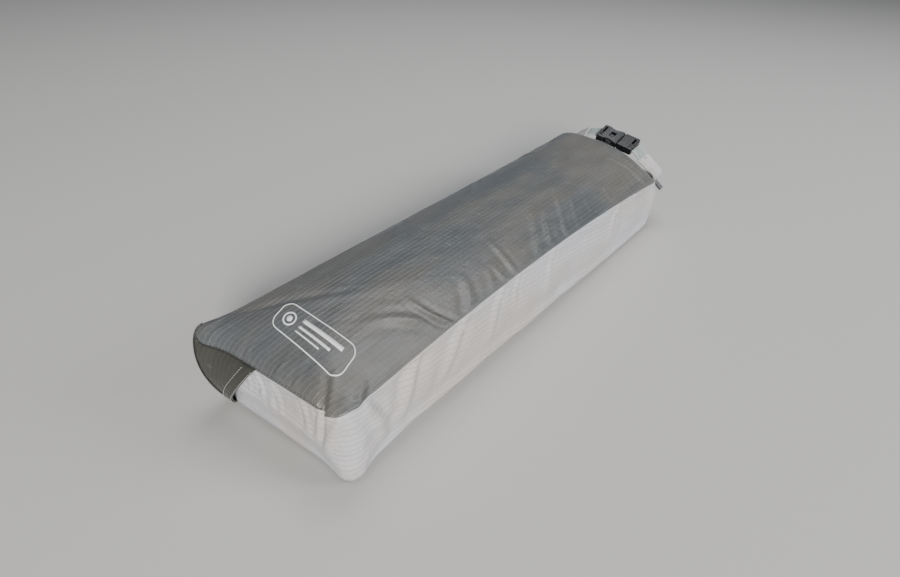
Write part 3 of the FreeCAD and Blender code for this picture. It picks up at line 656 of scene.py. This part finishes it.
def join_side(side, top, bottom):
    """Move the strip's edges onto the panels' rims, easing the change into the strip."""
    share = np.linspace(0, 1, len(side))[:, None, None]
    return side + (rim(top) - side[0]) * (1 - share) ** 3 + (rim(bottom) - side[-1]) * share ** 3


def swell(top, side, bottom):
    """Let the skin swell over its load with a short cloth simulation, seams held."""
    parts = [top, side[1:-1], bottom]
    points = np.concatenate([part.reshape(-1, 3) for part in parts])
    ids, start = [], 0
    for part in parts:
        ids.append(start + np.arange(part.size // 3).reshape(part.shape[:2]))
        start += ids[-1].size
    top_ids, inner_ids, bottom_ids = ids
    top_rim, bottom_rim = [rim(panel[..., None])[:, 0] for panel in (top_ids, bottom_ids)]
    side_ids = np.concatenate([top_rim[None], inner_ids, bottom_rim[None]])
    faces = []
    for panel, flip in ((top_ids, False), (side_ids, True), (bottom_ids, True)):
        quads = np.stack([panel[:-1, :-1], panel[:-1, 1:], panel[1:, 1:], panel[1:, :-1]], axis=-1)
        faces += [tuple(q[::-1]) if flip else tuple(q) for q in quads.reshape(-1, 4).tolist()]
    mouth = zip(top_ids[-1][:-1], top_ids[-1][1:], bottom_ids[-1][1:], bottom_ids[-1][:-1])
    faces += [tuple(int(v) for v in quad) for quad in mouth]
    mesh = bpy.data.meshes.new("skin")
    mesh.from_pydata([tuple(p * MM for p in point) for point in points], [], faces)
    skin = bpy.data.objects.new("skin", mesh)
    bpy.context.scene.collection.objects.link(skin)
    held = skin.vertex_groups.new(name="held")
    resting = bottom_ids[2:-END_STEPS, 4:-4].ravel()
    for group in (top_rim, bottom_rim, top_ids[-1], bottom_ids[-1], resting):
        held.add([int(i) for i in group], 1.0, "REPLACE")
    cloth = skin.modifiers.new("Cloth", "CLOTH")
    settings = cloth.settings
    settings.quality = 7
    settings.mass = 0.2
    settings.tension_stiffness = 25
    settings.compression_stiffness = 25
    settings.shear_stiffness = 10
    settings.bending_stiffness = 0.6
    settings.use_pressure = True
    settings.uniform_pressure_force = 2.5
    settings.vertex_group_mass = "held"
    settings.pin_stiffness = 1.0
    settings.effector_weights.gravity = 0
    scene = bpy.context.scene
    for step in range(1, SWELL_FRAMES + 1):
        scene.frame_set(step)
    settled = skin.evaluated_get(bpy.context.evaluated_depsgraph_get()).to_mesh()
    moved = np.zeros(len(points) * 3, np.float32)
    settled.vertices.foreach_get("co", moved)
    shift = moved.reshape(-1, 3).astype(float) / MM - points
    scene.frame_set(1)
    bpy.data.objects.remove(skin)
    length = np.linalg.norm(shift, axis=1, keepdims=True)
    points = points + shift * np.minimum(SWELL_CAP / np.maximum(length, 1e-9), 1)
    points[:, 2] = np.maximum(points[:, 2], 0.5)
    return points[top_ids], points[side_ids], points[bottom_ids]


def panels():
    """The three cloth panels of the sack, which share their edges point for point."""
    stations = rows()
    top = leaned(np.array([top_row(*station) for station in stations], float))
    bottom = leaned(np.array([bottom_row(*station) for station in stations], float))
    side = side_strip(rim(top), rim(bottom))
    top, side, bottom = [drawn_out(refine(panel)) for panel in swell(top, side, bottom)]
    bottom[..., 2] = np.maximum(bottom[..., 2], 0.6)
    top = add_top_folds(top)
    side = join_side(add_side_folds(side), top, bottom)
    return top, side, bottom


top_grid, side_grid, bottom_grid = panels()


def panel_piece(name, grid, material, flip, places=None):
    piece = grid_mesh(name, grid, material, flip, places)
    thicken(piece, PANEL_CLOTH)
    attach(piece, "sack")
    return piece


def sack_panels():
    top = panel_piece("top_skin", top_grid, dark_cloth, False)
    side = panel_piece("side_skin", side_grid, light_cloth, True, cloth_places(side_grid)[..., ::-1])
    bottom = panel_piece("bottom_skin", bottom_grid, dark_cloth, True)
    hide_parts("top_panel")
    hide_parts("side_gusset")
    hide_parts("bottom_panel")


# ---------------------------------------------------------------- bundle, seams, print

BEAD_SIDES, THREAD_SIDES = 8, 6


def closed_loop(ids):
    return list(ids[0, :-1]) + list(ids[:-1, -1]) + list(ids[-1, :0:-1]) + list(ids[:0:-1, 0])


def packed_bundle():
    """The load: a soft closed form a little inside every panel."""
    centre = np.array([0, 0, 38.0])
    top = centre + (top_grid[::4, ::4] - centre) * np.array([0.93, 0.96, 0.92])
    bottom = centre + (bottom_grid[::4, ::4] - centre) * np.array([0.9, 0.955, 0.93])
    rows_, columns = top.shape[:2]
    points = np.concatenate([top.reshape(-1, 3), bottom.reshape(-1, 3)])
    faces = grid_faces(rows_, columns)
    faces += grid_faces(rows_, columns, flip=True, first=rows_ * columns)
    top_ids = np.arange(rows_ * columns).reshape(rows_, columns)
    upper, lower = closed_loop(top_ids), closed_loop(top_ids + rows_ * columns)
    for k in range(len(upper)):
        following = (k + 1) % len(upper)
        faces.append((int(upper[following]), int(upper[k]), int(lower[k]), int(lower[following])))
    piece = make_mesh("packed_bundle", points, faces, load_cloth, points[:, :2])
    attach(piece, "sack")
    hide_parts("packed_load")


def bead(name, path, radius, material):
    """A round bead along a path of points."""
    tangent = unit(np.gradient(path, axis=0))
    side = unit(np.cross(tangent, (0, 0, 1)))
    up = np.cross(side, tangent)
    rings = []
    for k in range(BEAD_SIDES):
        angle = 2 * math.pi * k / BEAD_SIDES
        rings.append(path + radius * (side * math.cos(angle) + up * math.sin(angle)))
    points = np.stack(rings, axis=1).reshape(-1, 3)
    faces = grid_faces(len(path), BEAD_SIDES, wrap=True)
    faces.append(tuple(range(BEAD_SIDES))[::-1])
    faces.append(tuple(range(len(points) - BEAD_SIDES, len(points))))
    around, along = np.arange(BEAD_SIDES), np.arange(len(path))
    places = np.stack([np.tile(around, len(along)), np.repeat(along, BEAD_SIDES)], axis=1).astype(float)
    return make_mesh(name, points, faces, material, places)


def seam_pieces():
    """Piping beads along both seams, coloured whiter than the light cloth as a painted highlight on the
    folded seam edges, and the topstitching across the near end.
    """
    out = -grid_normals(side_grid)
    upper = side_grid[0] + out[2] * 0.35 - np.array([0, 0, 1.3])
    lower = side_grid[-1] + out[-3] * 0.25 + np.array([0, 0, 0.5])
    behind_band = (upper[:, 1] < NEAR_END + 8) & (upper[:, 0] < BAND_TOP_RIGHT + 3)
    tucked = np.convolve(behind_band.astype(float), np.ones(5) / 5, mode="same")[:, None]
    upper += tucked * (np.array([1.5, 3.0, -1.0]))
    top_seam = bead("top_seam_piping", upper, 0.42, painted_highlight_seam_edge)
    low_seam = bead("low_seam_piping", lower, 0.45, painted_highlight_seam_edge)
    for piece, node in ((top_seam, "top_seam_binding"), (low_seam, "bottom_seam_binding")):
        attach(piece, "sack")
        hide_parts(node)
    row = top_grid[2]
    normals = grid_normals(top_grid)[2]
    stitches = stitch_row("near_seam_stitches", row[4:-4], normals[4:-4], 2.8, 2.0, 0.28, dark_thread)
    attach(stitches, "sack")


def stitch_row(name, path, normals, gap, long, thick, material):
    """Separate stitches along a path: short flattened beads that dip into the cloth at both ends."""
    total = distances(path)
    points, faces = [], []
    for k in range(int(total[-1] / gap)):
        start = (k + 0.5) * gap - long / 2
        ring_ids = []
        for m in range(5):
            share = m / 4
            at = start + long * share
            centre = at_distance(path, total, at)
            normal = unit(at_distance(normals, total, at))
            ahead = unit(at_distance(path, total, at + 0.2) - at_distance(path, total, at - 0.2))
            side = np.cross(ahead, normal)
            lift = thick * (0.9 * math.sin(math.pi * share) - 0.35)
            radius = thick * (0.55 + 0.45 * math.sin(math.pi * share))
            first = len(points)
            for s in range(THREAD_SIDES):
                angle = 2 * math.pi * s / THREAD_SIDES
                upward = normal * (lift + radius * 0.7 * math.sin(angle))
                points.append(centre + upward + side * radius * math.cos(angle))
            ring_ids.append(list(range(first, first + THREAD_SIDES)))
        for lower_ring, upper_ring in zip(ring_ids, ring_ids[1:]):
            for s in range(THREAD_SIDES):
                t = (s + 1) % THREAD_SIDES
                faces.append((lower_ring[s], lower_ring[t], upper_ring[t], upper_ring[s]))
        faces.append(tuple(ring_ids[0][::-1]))
        faces.append(tuple(ring_ids[-1]))
    return make_mesh(name, points, faces, material)


def on_top(x, y, lift=0.0):
    """The point of the top panel nearest to x, y in plan, lifted off the cloth."""
    rows_y = top_grid[:, top_grid.shape[1] // 2, 1]
    y /= 1 - SIDE_LONGER / 2 * x / HALF[1] / FAR_END
    j = min(max(int(np.searchsorted(rows_y, y)) - 1, 0), len(rows_y) - 2)
    share = min(max((y - rows_y[j]) / (rows_y[j + 1] - rows_y[j]), 0), 1)
    row = top_grid[j] * (1 - share) + top_grid[j + 1] * share
    normals = grid_normals(top_grid[j:j + 2])[0]
    z = np.interp(x, row[:, 0], row[:, 2])
    normal = np.array([np.interp(x, row[:, 0], normals[:, a]) for a in range(3)])
    return np.array([x, np.interp(x, row[:, 0], row[:, 1]), z]) + normal * lift


# ------------------------------------------------------------------------------ badge

BADGE_SIZE = (76, 25)
INK_LIFT = 0.45
DISC_STEPS = 20
BADGE_CORNERS = [(-38, -202), (38, -205), (45, -232), (-30, -226)]


def badge_place(u, v):
    """A point of the badge: u across and v up it, both from 0 to 1."""
    a, b, c, d = [np.array(corner, float) for corner in BADGE_CORNERS]
    return (d * (1 - u) + c * u) * (1 - v) + (a * (1 - u) + b * u) * v


def inked(place):
    """A point on the cloth for a place on the badge, in millimetres."""
    u, v = place / np.array(BADGE_SIZE)
    return on_top(*badge_place(u, v), INK_LIFT)


def ink_ribbon(points, wide, closed=False):
    """A printed line: a ribbon that lies on the cloth. points are millimetres on the badge."""
    if closed:
        ahead = unit(np.roll(points, -1, axis=0) - np.roll(points, 1, axis=0))
    else:
        ahead = unit(np.gradient(points, axis=0))
    side = np.stack([-ahead[:, 1], ahead[:, 0]], axis=1)
    vertices, faces = [], []
    for share in (0.5, -0.5):
        vertices += [inked(point + across * wide * share) for point, across in zip(points, side)]
    count = len(points)
    last = count if closed else count - 1
    for k in range(last):
        following = (k + 1) % count
        faces.append((k, k + count, following + count, following))
    return vertices, faces


def ink_disc(centre, radius):
    vertices = []
    for r in (0, radius * 0.5, radius):
        for k in range(DISC_STEPS):
            angle = 2 * math.pi * k / DISC_STEPS
            vertices.append(inked(np.array(centre) + r * np.array([math.cos(angle), math.sin(angle)])))
    faces = [(a, d, c, b) for a, b, c, d in grid_faces(3, DISC_STEPS, wrap=True)]
    return vertices, faces


def rounded_outline(left, low, right, high, radius, steps=8):
    """A closed rounded rectangle, anticlockwise."""
    points = []
    for cx, cy, first in ((right - radius, low + radius, -90), (right - radius, high - radius, 0),
                          (left + radius, high - radius, 90), (left + radius, low + radius, 180)):
        for k in range(steps + 1):
            angle = math.radians(first + 90 * k / steps)
            points.append((cx + radius * math.cos(angle), cy + radius * math.sin(angle)))
    return dense(points, 2.0, closed=True)


def dense(points, step, closed=False):
    """The same path with points no further apart than step."""
    points = [np.array(p, float) for p in points]
    if closed:
        points.append(points[0])
    result = []
    for a, b in zip(points, points[1:]):
        count = max(int(math.ceil(np.linalg.norm(b - a) / step)), 1)
        result += [a + (b - a) * k / count for k in range(count)]
    if not closed:
        result.append(points[-1])
    return np.array(result)


def badge():
    """A plain printed badge: an outline with a disc, a ring and three bars, no lettering."""
    parts = [
        ink_ribbon(rounded_outline(0, 0, 76, 25, 8), 0.9, closed=True),
        ink_ribbon(dense([(24, 17.5), (66, 17.5)], 2), 3.4),
        ink_ribbon(dense([(24, 11.5), (58, 11.5)], 2), 2.0),
        ink_ribbon(dense([(24, 7.2), (50, 7.2)], 2), 1.2),
        ink_ribbon(rounded_outline(7, 7, 18, 18, 5.4), 1.4, closed=True),
        ink_disc((12.5, 12.5), 2.6),
    ]
    vertices, faces = [], []
    for part_vertices, part_faces in parts:
        first = len(vertices)
        vertices += part_vertices
        faces += [tuple(first + v for v in face) for face in part_faces]
    piece = make_mesh("printed_badge", vertices, faces, white_ink, [(v[0], v[1]) for v in vertices])
    thicken(piece, 0.25)
    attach(piece, "sack")


# -------------------------------------------------------------------------- grab band

BAND_TOP_RIGHT, BAND_LOW_RIGHT = -12, -50
BAND_CORNER = 5
HEM_WIDE = 10
HEM_OUT = 0.9
BAND_GAP = 10
BAND_LUMPS, BAND_CLOTH = 0.6, 0.6


def near_edge(grid, right):
    """A panel's edge across the near end, from just round the left corner to x = right."""
    corner = [row[0] for row in grid[::-1] if row[0][1] < NEAR_END - BAND_CORNER + 6]
    across = [point for point in grid[0][1:] if point[0] < right]
    return np.array(corner + across)


def along_path(path, share):
    """The point at a share of a path's length."""
    total = distances(path)
    return at_distance(path, total, share * total[-1])


band_top = near_edge(top_grid, BAND_TOP_RIGHT)
band_foot = near_edge(bottom_grid, BAND_LOW_RIGHT)


def band_point(share, height):
    """A point of the grab band: share across it from left to right, height 0 low to 1 high."""
    swing = math.sin(math.pi * height)
    low, high = along_path(band_foot, share), along_path(band_top, share) + np.array([0, 0, 0.8])
    point = low + (high - low) * height
    away = np.array([-0.45 * max(1 - share * 2.5, 0), -1, 0])
    return point + away * (0.5 + BAND_GAP * swing ** 0.75 * (0.75 + 0.25 * share))


def band_half(name, low, high, first, last, out):
    """Part of the band between two heights and two shares of its width, moved out by some millimetres."""
    steps_up, steps_across = 20, 24
    grid = np.zeros((steps_up + 1, steps_across + 1, 3))
    for j in range(steps_up + 1):
        for i in range(steps_across + 1):
            height = low + (high - low) * j / steps_up
            start, end = first(height), last(height)
            grid[j, i] = band_point(start + (end - start) * i / steps_across, height)
    grid[..., 1] -= out
    grid[..., 1] += BAND_LUMPS * smooth_noise(grid * np.array([1, 0, 1]), 14, 11, (1, 1, 2.5))
    piece = grid_mesh(name, grid, band_cloth)
    thicken(piece, BAND_CLOTH)
    return piece, grid


def path_length(path):
    return np.linalg.norm(np.diff(path, axis=0), axis=1).sum()


def hem_share(height):
    """The share of the band's width that a hem takes at a height."""
    width = path_length(band_foot) * (1 - height) + path_length(band_top) * height
    return HEM_WIDE / width


def blend_band(piece):
    """Bake the piece's placement into its mesh."""
    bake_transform(piece)


def left_edge(height):
    return 0


def right_edge(height):
    return 1


def right_hem(height):
    return 1 - hem_share(height)


def grab_band():
    for upper in (True, False):
        word = "upper" if upper else "lower"
        low, high = (0.5, 1.0) if upper else (0.0, 0.5)
        web, _ = band_half("band_web_" + word, low, high, left_edge, right_edge, 0)
        right, hem_grid = band_half("band_hem_right_" + word, low, high, right_hem, right_edge, HEM_OUT)
        left, _ = band_half("band_hem_left_" + word, low, high, left_edge, hem_share, HEM_OUT)
        for piece, node in ((web, "grab_band"), (right, "band_hem_right"), (left, "band_hem_left")):
            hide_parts(node)
            blend_band(piece)
        for index, column in enumerate((1, hem_grid.shape[1] - 2)):
            path = hem_grid[:, column] + np.array([0, -0.05, 0])
            normals = np.tile(np.array([0, -1.0, 0]), (len(path), 1))
            name = "band_stitches_%s_%d" % (word, index)
            stitches = stitch_row(name, path, normals, 2.6, 2.0, 0.32, light_thread)
            if index == 0:
                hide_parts("band_tacks")
            blend_band(stitches)


# ------------------------------------------------------------------------ rolled mouth

ROLL_Y = sum(corner[1] for corner in node_box("rolled_collar")) / 2
ROLL_HALF = COLLAR_HALF


def roll_outline():
    """The rolled collar's section: a flat spiral of cloth, from its core to its outside."""
    turns, steps = 2.6, 150
    points = []
    for k in range(steps + 1):
        share = k / steps
        angle = 2 * math.pi * turns * share
        thick = 1.9 + (4.6 - 1.9) * share
        straight = 5.4
        y = straight * max(-1, min(1, 1.3 * math.cos(angle))) + thick * math.cos(angle)
        z = thick * math.sin(angle)
        points.append((y, z))
    return points


def rolled_mouth():
    outline = roll_outline()
    columns = 45
    grid = np.zeros((len(outline), columns, 3))
    for j, (y, z) in enumerate(outline):
        for i in range(columns):
            x = -ROLL_HALF + 2 * ROLL_HALF * i / (columns - 1)
            grid[j, i] = (x, ROLL_Y + y, COLLAR_Z + z)
    wave = smooth_noise(grid * np.array([1, 1, 0]), 22, 21, (1, 1, 1)) * 0.5
    grid[..., 2] += wave * np.sign(grid[..., 2] - COLLAR_Z)
    piece = grid_mesh("mouth_roll", grid, light_cloth)
    thicken(piece, 0.45, 0)
    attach(piece, "closure")
    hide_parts("rolled_collar")


def neck():
    """The flattened mouth: two layers of cloth between the panels and the roll."""
    columns = 57
    for name, side in (("neck_upper", 1), ("neck_lower", -1)):
        grid = np.zeros((9, columns, 3))
        for j in range(9):
            share = j / 8
            for i in range(columns):
                x = (-1 + 2 * i / (columns - 1)) * (56 + (53 - 56) * share)
                pleat = 0.7 * math.sin(x * 0.55) * math.sin(math.pi * share)
                off = side * (3.4 * (1 - share) ** 2 + 0.9 + 0.3 * math.sin(x * 0.31) * share)
                grid[j, i] = (x, FAR_END - 1.2 + 10.5 * share, COLLAR_Z + off + 0.4 * pleat)
        piece = grid_mesh(name, grid, light_cloth, side < 0)
        thicken(piece, 0.4)
        if side > 0:
            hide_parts("mouth_neck")
        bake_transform(piece)


# --------------------------------------------------------------------- ears and straps

BUCKLE_TILT = 16
BUCKLE_CENTRE = (4, 267, 83.5)


def smooth_path(points, count):
    """A smooth curve through a few points (Catmull-Rom), evenly sampled."""
    points = np.asarray(points, float)
    padded = np.concatenate([[2 * points[0] - points[1]], points, [2 * points[-1] - points[-2]]])
    fine = []
    for k in range(len(points) - 1):
        a, b, c, d = padded[k:k + 4]
        for m in range(12):
            t = m / 12
            squared, cubed = 2 * a - 5 * b + 4 * c - d, 3 * b - a - 3 * c + d
            fine.append(0.5 * (2 * b + (c - a) * t + squared * t ** 2 + cubed * t ** 3))
    fine.append(points[-1])
    fine = np.array(fine)
    total = distances(fine)
    return at_distance(fine, total, np.linspace(0, total[-1], count)).T


def strap_grid(path, wide, tilts, across_steps=8, crown=0.0):
    """A flat band along a path in the X-Z plane; tilts turn it about its own run, in degrees."""
    tangent = np.gradient(path, axis=0)
    tangent[:, 1] = 0
    tangent = unit(tangent)
    grid = np.zeros((len(path), across_steps + 1, 3))
    normals = np.zeros((len(path), 3))
    for j, (place, heading) in enumerate(zip(path, tangent)):
        tilt = math.radians(tilts[0] + (tilts[1] - tilts[0]) * j / (len(path) - 1))
        flat_up = np.cross(heading, (0, 1, 0))
        across = np.array([0, math.cos(tilt), 0]) + flat_up * math.sin(tilt)
        normals[j] = flat_up * math.cos(tilt) - np.array([0, math.sin(tilt), 0])
        for i in range(across_steps + 1):
            offset = wide * (i / across_steps - 0.5)
            grid[j, i] = place + across * offset + normals[j] * crown * (1 - (2 * offset / wide) ** 2)
    return grid, normals


def band_piece(name, grid, thickness, material):
    """Webbing or folded cloth from a grid, with its edges softened."""
    piece = grid_mesh(name, grid, material)
    thicken(piece, thickness, 0)
    bevel = piece.modifiers.new("Soft edge", "BEVEL")
    bevel.width = 0.2 * thickness * MM
    bevel.segments = 2
    bevel.limit_method = "ANGLE"
    bevel.angle_limit = math.radians(50)
    return piece


EAR_SHIFT = -2.5


def ear_path(side):
    bends = {
        1: [(55.4, 47.4), (61.5, 50.5), (59.5, 57), (50.5, 64), (40, 71.5)],
        -1: [(-55.4, 47.4), (-62.5, 52), (-58, 66), (-47, 77), (-35, 84)],
    }[side]
    steps = len(bends) - 1
    buckle_y = BUCKLE_CENTRE[1]
    return [(x, ROLL_Y + (buckle_y - ROLL_Y) * k / steps, z) for k, (x, z) in enumerate(bends)]


def closure_end(side):
    """The folded collar end on one side and its strap."""
    word = "right" if side > 0 else "left"
    tilt = -side * BUCKLE_TILT
    path = smooth_path(ear_path(side), 36)
    grid, normals = strap_grid(path, 20, (0, tilt), 10, 0.5)
    grid[..., 1] += EAR_SHIFT * np.linspace(0, 1, len(path))[:, None]
    grid += normals[:, None] * 0.35 * smooth_noise(grid, 7, 31 + side)[..., None]
    ear = band_piece("ear_" + word + "_fold", grid, 2.6, light_cloth)
    top_x, top_z = path[-1][0], path[-1][2]
    buckle_end = (28.3, 79.5) if side > 0 else (-20.4, 87.4)
    start = np.array([top_x, BUCKLE_CENTRE[1], top_z])
    end = np.array([buckle_end[0], BUCKLE_CENTRE[1], buckle_end[1]])
    overlap = start + (path[-5] - start) * 0.9
    strap_line = smooth_path([overlap, start, (start + end) / 2 + np.array([0, 0, 0.6]), end], 26)
    strap, _ = strap_grid(strap_line, 16, (tilt, tilt), 8)
    strap[..., 1] += EAR_SHIFT * np.linspace(1, 0.3, len(strap_line))[:, None]
    webbing_piece = band_piece("strap_" + word + "_webbing", strap, 1.5, strap_webbing)
    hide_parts("ear_" + word)
    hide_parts("strap_" + word)
    if side > 0:
        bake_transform(ear)
        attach(webbing_piece, "plug")
    else:
        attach(ear, "closure")
        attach(webbing_piece, "closure")


def side_tab():
    """A small folded loop of dark webbing in the right corner beside the mouth."""
    low, high = node_box("side_tab")
    middle = (low + high) / 2
    slope = math.radians(35)
    direction = np.array([math.cos(slope), 0, -math.sin(slope)])
    normal = np.array([math.sin(slope), 0, math.cos(slope)])
    long, thick, wide = 12.5, 1.9, 7.6
    outline = []
    for k in range(9):
        outline.append((-long / 2 + (long - thick / 2) * k / 8, thick / 2))
    for k in range(1, 8):
        angle = math.pi / 2 - math.pi * k / 8
        outline.append((long / 2 - thick / 2 + thick / 2 * math.cos(angle), thick / 2 * math.sin(angle)))
    for k in range(9):
        outline.append((long / 2 - thick / 2 - (long - thick / 2) * k / 8, -thick / 2))
    grid = np.zeros((len(outline), 9, 3))
    for j, (a, b) in enumerate(outline):
        for i in range(9):
            across = wide * (i / 8 - 0.5)
            grid[j, i] = middle + direction * a + normal * b + np.array([0, across, 0])
    piece = band_piece("side_tab_loop", grid, 0.9, tab_webbing)
    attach(piece, "tab")
    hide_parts("side_tab")


def buckle_looks():
    """The moulded buckle keeps its CAD shape and gets its finish."""
    for name, material in (("buckle_socket", black_plastic), ("buckle_plug", black_plastic),
                           ("prong_left", black_plastic), ("prong_right", black_plastic),
                           ("mouth_stiffener", strip_plastic)):
        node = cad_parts[name]
        node.data.materials.clear()
        node.data.materials.append(material)


# ----------------------------------------------------------------------------- studio

CAMERA_PLACE_M = (0.2585, -0.4023, 0.3322)
CAMERA_YAW = -36.8
CAMERA_PITCH = 35
CAMERA_ROLL = 2.5
CAMERA_LENS = 23.08


def camera():
    yaw, pitch, roll = (math.radians(v) for v in (CAMERA_YAW, CAMERA_PITCH, CAMERA_ROLL))
    ahead = Vector((math.sin(yaw) * math.cos(pitch), math.cos(yaw) * math.cos(pitch), -math.sin(pitch)))
    right = Vector((math.cos(yaw), -math.sin(yaw), 0))
    up = right.cross(ahead)
    rolled_right = right * math.cos(roll) + up * math.sin(roll)
    rolled_up = up * math.cos(roll) - right * math.sin(roll)
    data = bpy.data.cameras.new("camera")
    data.lens = CAMERA_LENS
    data.sensor_width = 36
    data.clip_start = 0.01
    eye = bpy.data.objects.new("camera", data)
    basis = Matrix((rolled_right, rolled_up, -ahead)).transposed().to_4x4()
    eye.matrix_world = Matrix.Translation(CAMERA_PLACE_M) @ basis
    bpy.context.scene.collection.objects.link(eye)
    bpy.context.scene.camera = eye


def floor():
    n = Nodes("floor_paper")
    n.shader.inputs["Base Color"].default_value = (0.5, 0.49, 0.47, 1)
    n.shader.inputs["Roughness"].default_value = 0.9
    piece = make_mesh("floor", [(-6000, -6000, 0), (6000, -6000, 0), (6000, 6000, 0), (-6000, 6000, 0)],
                      [(0, 1, 2, 3)], n.material)


def area_light(name, place, target, power, size, colour):
    data = bpy.data.lights.new(name, "AREA")
    data.energy = power
    data.size = size
    data.color = colour
    light = bpy.data.objects.new(name, data)
    light.location = place
    light.rotation_euler = (Vector(target) - Vector(place)).to_track_quat("-Z", "Y").to_euler()
    bpy.context.scene.collection.objects.link(light)


def studio():
    world = bpy.data.worlds.new("studio")
    world.use_nodes = True
    background = world.node_tree.nodes["Background"]
    background.inputs["Color"].default_value = (0.78, 0.85, 1.0, 1)
    background.inputs["Strength"].default_value = 0.12
    bpy.context.scene.world = world
    area_light("key", (2.4, -2.6, 1.5), (0, 0, 0), 225, 1.1, (1.0, 0.98, 0.95))
    area_light("fill", (1.9, 1.2, 1.2), (0, 0.05, 0.03), 26, 0.9, (0.93, 0.96, 1.0))
    area_light("overhead", (-0.4, 0.7, 2.1), (0, 0, 0), 24, 1.2, (0.94, 0.97, 1.0))


camera()
floor()
studio()
packed_bundle()
sack_panels()
seam_pieces()
badge()
grab_band()
rolled_mouth()
neck()
closure_end(1)
closure_end(-1)
side_tab()
buckle_looks()
